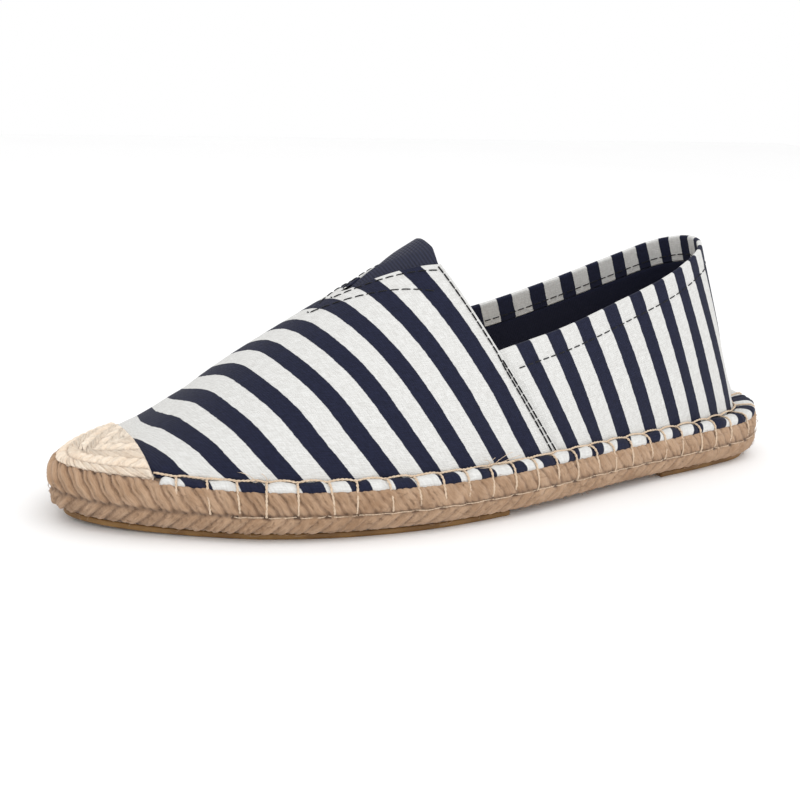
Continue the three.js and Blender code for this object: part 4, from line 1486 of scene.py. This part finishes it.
class ESPADRILLE_OT_fibres(bpy.types.Operator):
    """Loose jute hairs on the sole's side, and thread ends on the feather line"""

    bl_idname = "espadrille.fibres"
    bl_label = "Loose fibres"
    bl_options = {"REGISTER", "UNDO"}

    def execute(self, context):
        colours = context.scene.espadrille_colours
        chance = np.random.default_rng(31)
        count = 620
        t = np.linspace(0, 1, 6)  # along each hair
        start = chance.uniform(0, FULL_TURN, count)
        level = chance.uniform(2.6, 5.6, count)
        run = chance.normal(0, 1, (count, 1)) * 0.16
        rise_by = chance.normal(0, 0.5, (count, 1))
        curl = chance.uniform(0.3, 1.3, (count, 1))
        u = start[:, None] + run * t
        level = np.clip(level[:, None] + rise_by * t, 1.6, 5.9)
        place, normal = side_point(u, level, 0.3 + curl * np.sin(np.pi * t * 0.8) - 0.5 * (t == 0))
        hair = jute("jute_hair", colours.jute, colours.guard_middle, colours.jute_middle)
        piece("jute_fibres", tubes(place, normal, 0.07, 3), hair, weld=0.001)

        ends = []
        for at, count in ((6.75, 9), (3.9, 5), (FULL_TURN - 7.2, 5)):
            u = at + chance.normal(0, 0.06, (count, 1)) + chance.normal(0, 0.22, (count, 1)) * t
            away = 0.8 + chance.uniform(0.6, 2.6, (count, 1)) * np.sin(np.pi * t * 0.75)
            up = chance.uniform(0.4, 3.8, (count, 1)) * np.sin(np.pi * t * 0.6)
            line = outline_point(u, outline(u)[2] - away)
            line[..., 2] = jute_top(line[..., 0]) + 1.2 + up
            ends += tubes(line, outline(u)[1], 0.09, 4)
        cream = thread("thread_end", colours.cream, colours.cream_shade)
        piece("thread_ends", ends, cream, weld=0.001)
        return {"FINISHED"}


# ---- stage -----------------------------------------------------------------------------------

CAMERA_TARGET = (5.7, -22.31, 21.36)
CAMERA_DISTANCE = 440.0
CAMERA_AZIMUTH, CAMERA_ELEVATION, CAMERA_ROLL = 63.082, 15.332, 2.615  # degrees
CAMERA_LENS = 57.6
# name, place and size in metres, power in watts
LIGHTS = (
    ("key", (0.3, 0.6, 0.95), 0.9, 1.1),
    ("fill", (0.25, 0.9, 0.4), 0.7, 1.3),
    ("top", (-0.4, 0.3, 1.1), 0.8, 2.2),
)
FLOOR_REACH = 1.5


class ESPADRILLE_OT_stage(bpy.types.Operator):
    """Camera, soft studio lights and a white floor"""

    bl_idname = "espadrille.stage"
    bl_label = "Studio"
    bl_options = {"REGISTER", "UNDO"}

    def execute(self, context):
        colours = context.scene.espadrille_colours
        scene = bpy.context.scene
        scene.view_settings.view_transform = "Standard"
        camera = bpy.data.objects.new("camera", bpy.data.cameras.new("camera"))
        turns = ((90 + CAMERA_AZIMUTH, "Z"), (90 - CAMERA_ELEVATION, "X"), (CAMERA_ROLL, "Z"))
        stand = Matrix.Translation(Vector(CAMERA_TARGET) * MM)
        for angle, axis in turns:
            stand = stand @ Matrix.Rotation(np.radians(angle), 4, axis)
        camera.matrix_world = stand @ Matrix.Translation((0, 0, CAMERA_DISTANCE * MM))
        camera.data.lens = CAMERA_LENS
        camera.data.clip_start = 0.01
        scene.collection.objects.link(camera)
        scene.camera = camera

        world = bpy.data.worlds.new("studio")
        world.use_nodes = True
        background = world.node_tree.nodes["Background"]
        background.inputs["Color"].default_value = (1, 1, 1, 1)
        background.inputs["Strength"].default_value = 1.0
        scene.world = world
        for name, place, size, power in LIGHTS:
            light = bpy.data.lights.new(name, "AREA")
            light.size = size
            light.energy = power
            lamp = bpy.data.objects.new(name, light)
            aim = (Vector((0, 0, 0.03)) - Vector(place)).to_track_quat("-Z", "Y")
            lamp.matrix_world = Matrix.Translation(place) @ aim.to_matrix().to_4x4()
            scene.collection.objects.link(lamp)

        floor = bpy.data.meshes.new("studio_floor")
        corners = [(x * FLOOR_REACH, y * FLOOR_REACH, 0) for x, y in ((-1, -1), (1, -1), (1, 1), (-1, 1))]
        floor.from_pydata(corners, [], [(0, 1, 2, 3)])
        floor.materials.append(studio_floor(colours))
        ground = bpy.data.objects.new("studio_floor", floor)
        scene.collection.objects.link(ground)
        return {"FINISHED"}


class ESPADRILLE_PT_panel(bpy.types.Panel):
    """Sizes, colours and a button for each piece"""

    bl_idname = "ESPADRILLE_PT_panel"
    bl_label = "Espadrille"
    bl_space_type = "VIEW_3D"
    bl_region_type = "UI"
    bl_category = "Espadrille"

    def draw(self, context):
        column = self.layout.column()
        for group in (context.scene.espadrille_sizes, context.scene.espadrille_colours):
            for key in group.__annotations__:
                column.prop(group, key)
        for operator in OPERATORS:
            column.operator(operator.bl_idname)


OPERATORS = (
    ESPADRILLE_OT_stage,
    ESPADRILLE_OT_sole,
    ESPADRILLE_OT_outsoles,
    ESPADRILLE_OT_insole,
    ESPADRILLE_OT_lining,
    ESPADRILLE_OT_quarters,
    ESPADRILLE_OT_vamp,
    ESPADRILLE_OT_gore,
    ESPADRILLE_OT_guard,
    ESPADRILLE_OT_roll,
    ESPADRILLE_OT_blanket,
    ESPADRILLE_OT_topstitch,
    ESPADRILLE_OT_fibres,
)
CLASSES = (EspadrilleSizes, EspadrilleColours, *OPERATORS, ESPADRILLE_PT_panel)


def register():
    for each in CLASSES:
        bpy.utils.register_class(each)
    bpy.types.Scene.espadrille_sizes = PointerProperty(type=EspadrilleSizes)
    bpy.types.Scene.espadrille_colours = PointerProperty(type=EspadrilleColours)


def unregister():
    del bpy.types.Scene.espadrille_colours
    del bpy.types.Scene.espadrille_sizes
    for each in reversed(CLASSES):
        bpy.utils.unregister_class(each)


def main():
    """Makes every piece in order."""
    register()
    for operator in OPERATORS:
        _, name = operator.bl_idname.split(".")
        getattr(bpy.ops.espadrille, name)()
    bpy.context.view_layer.update()


if __name__ == "__main__":
    main()
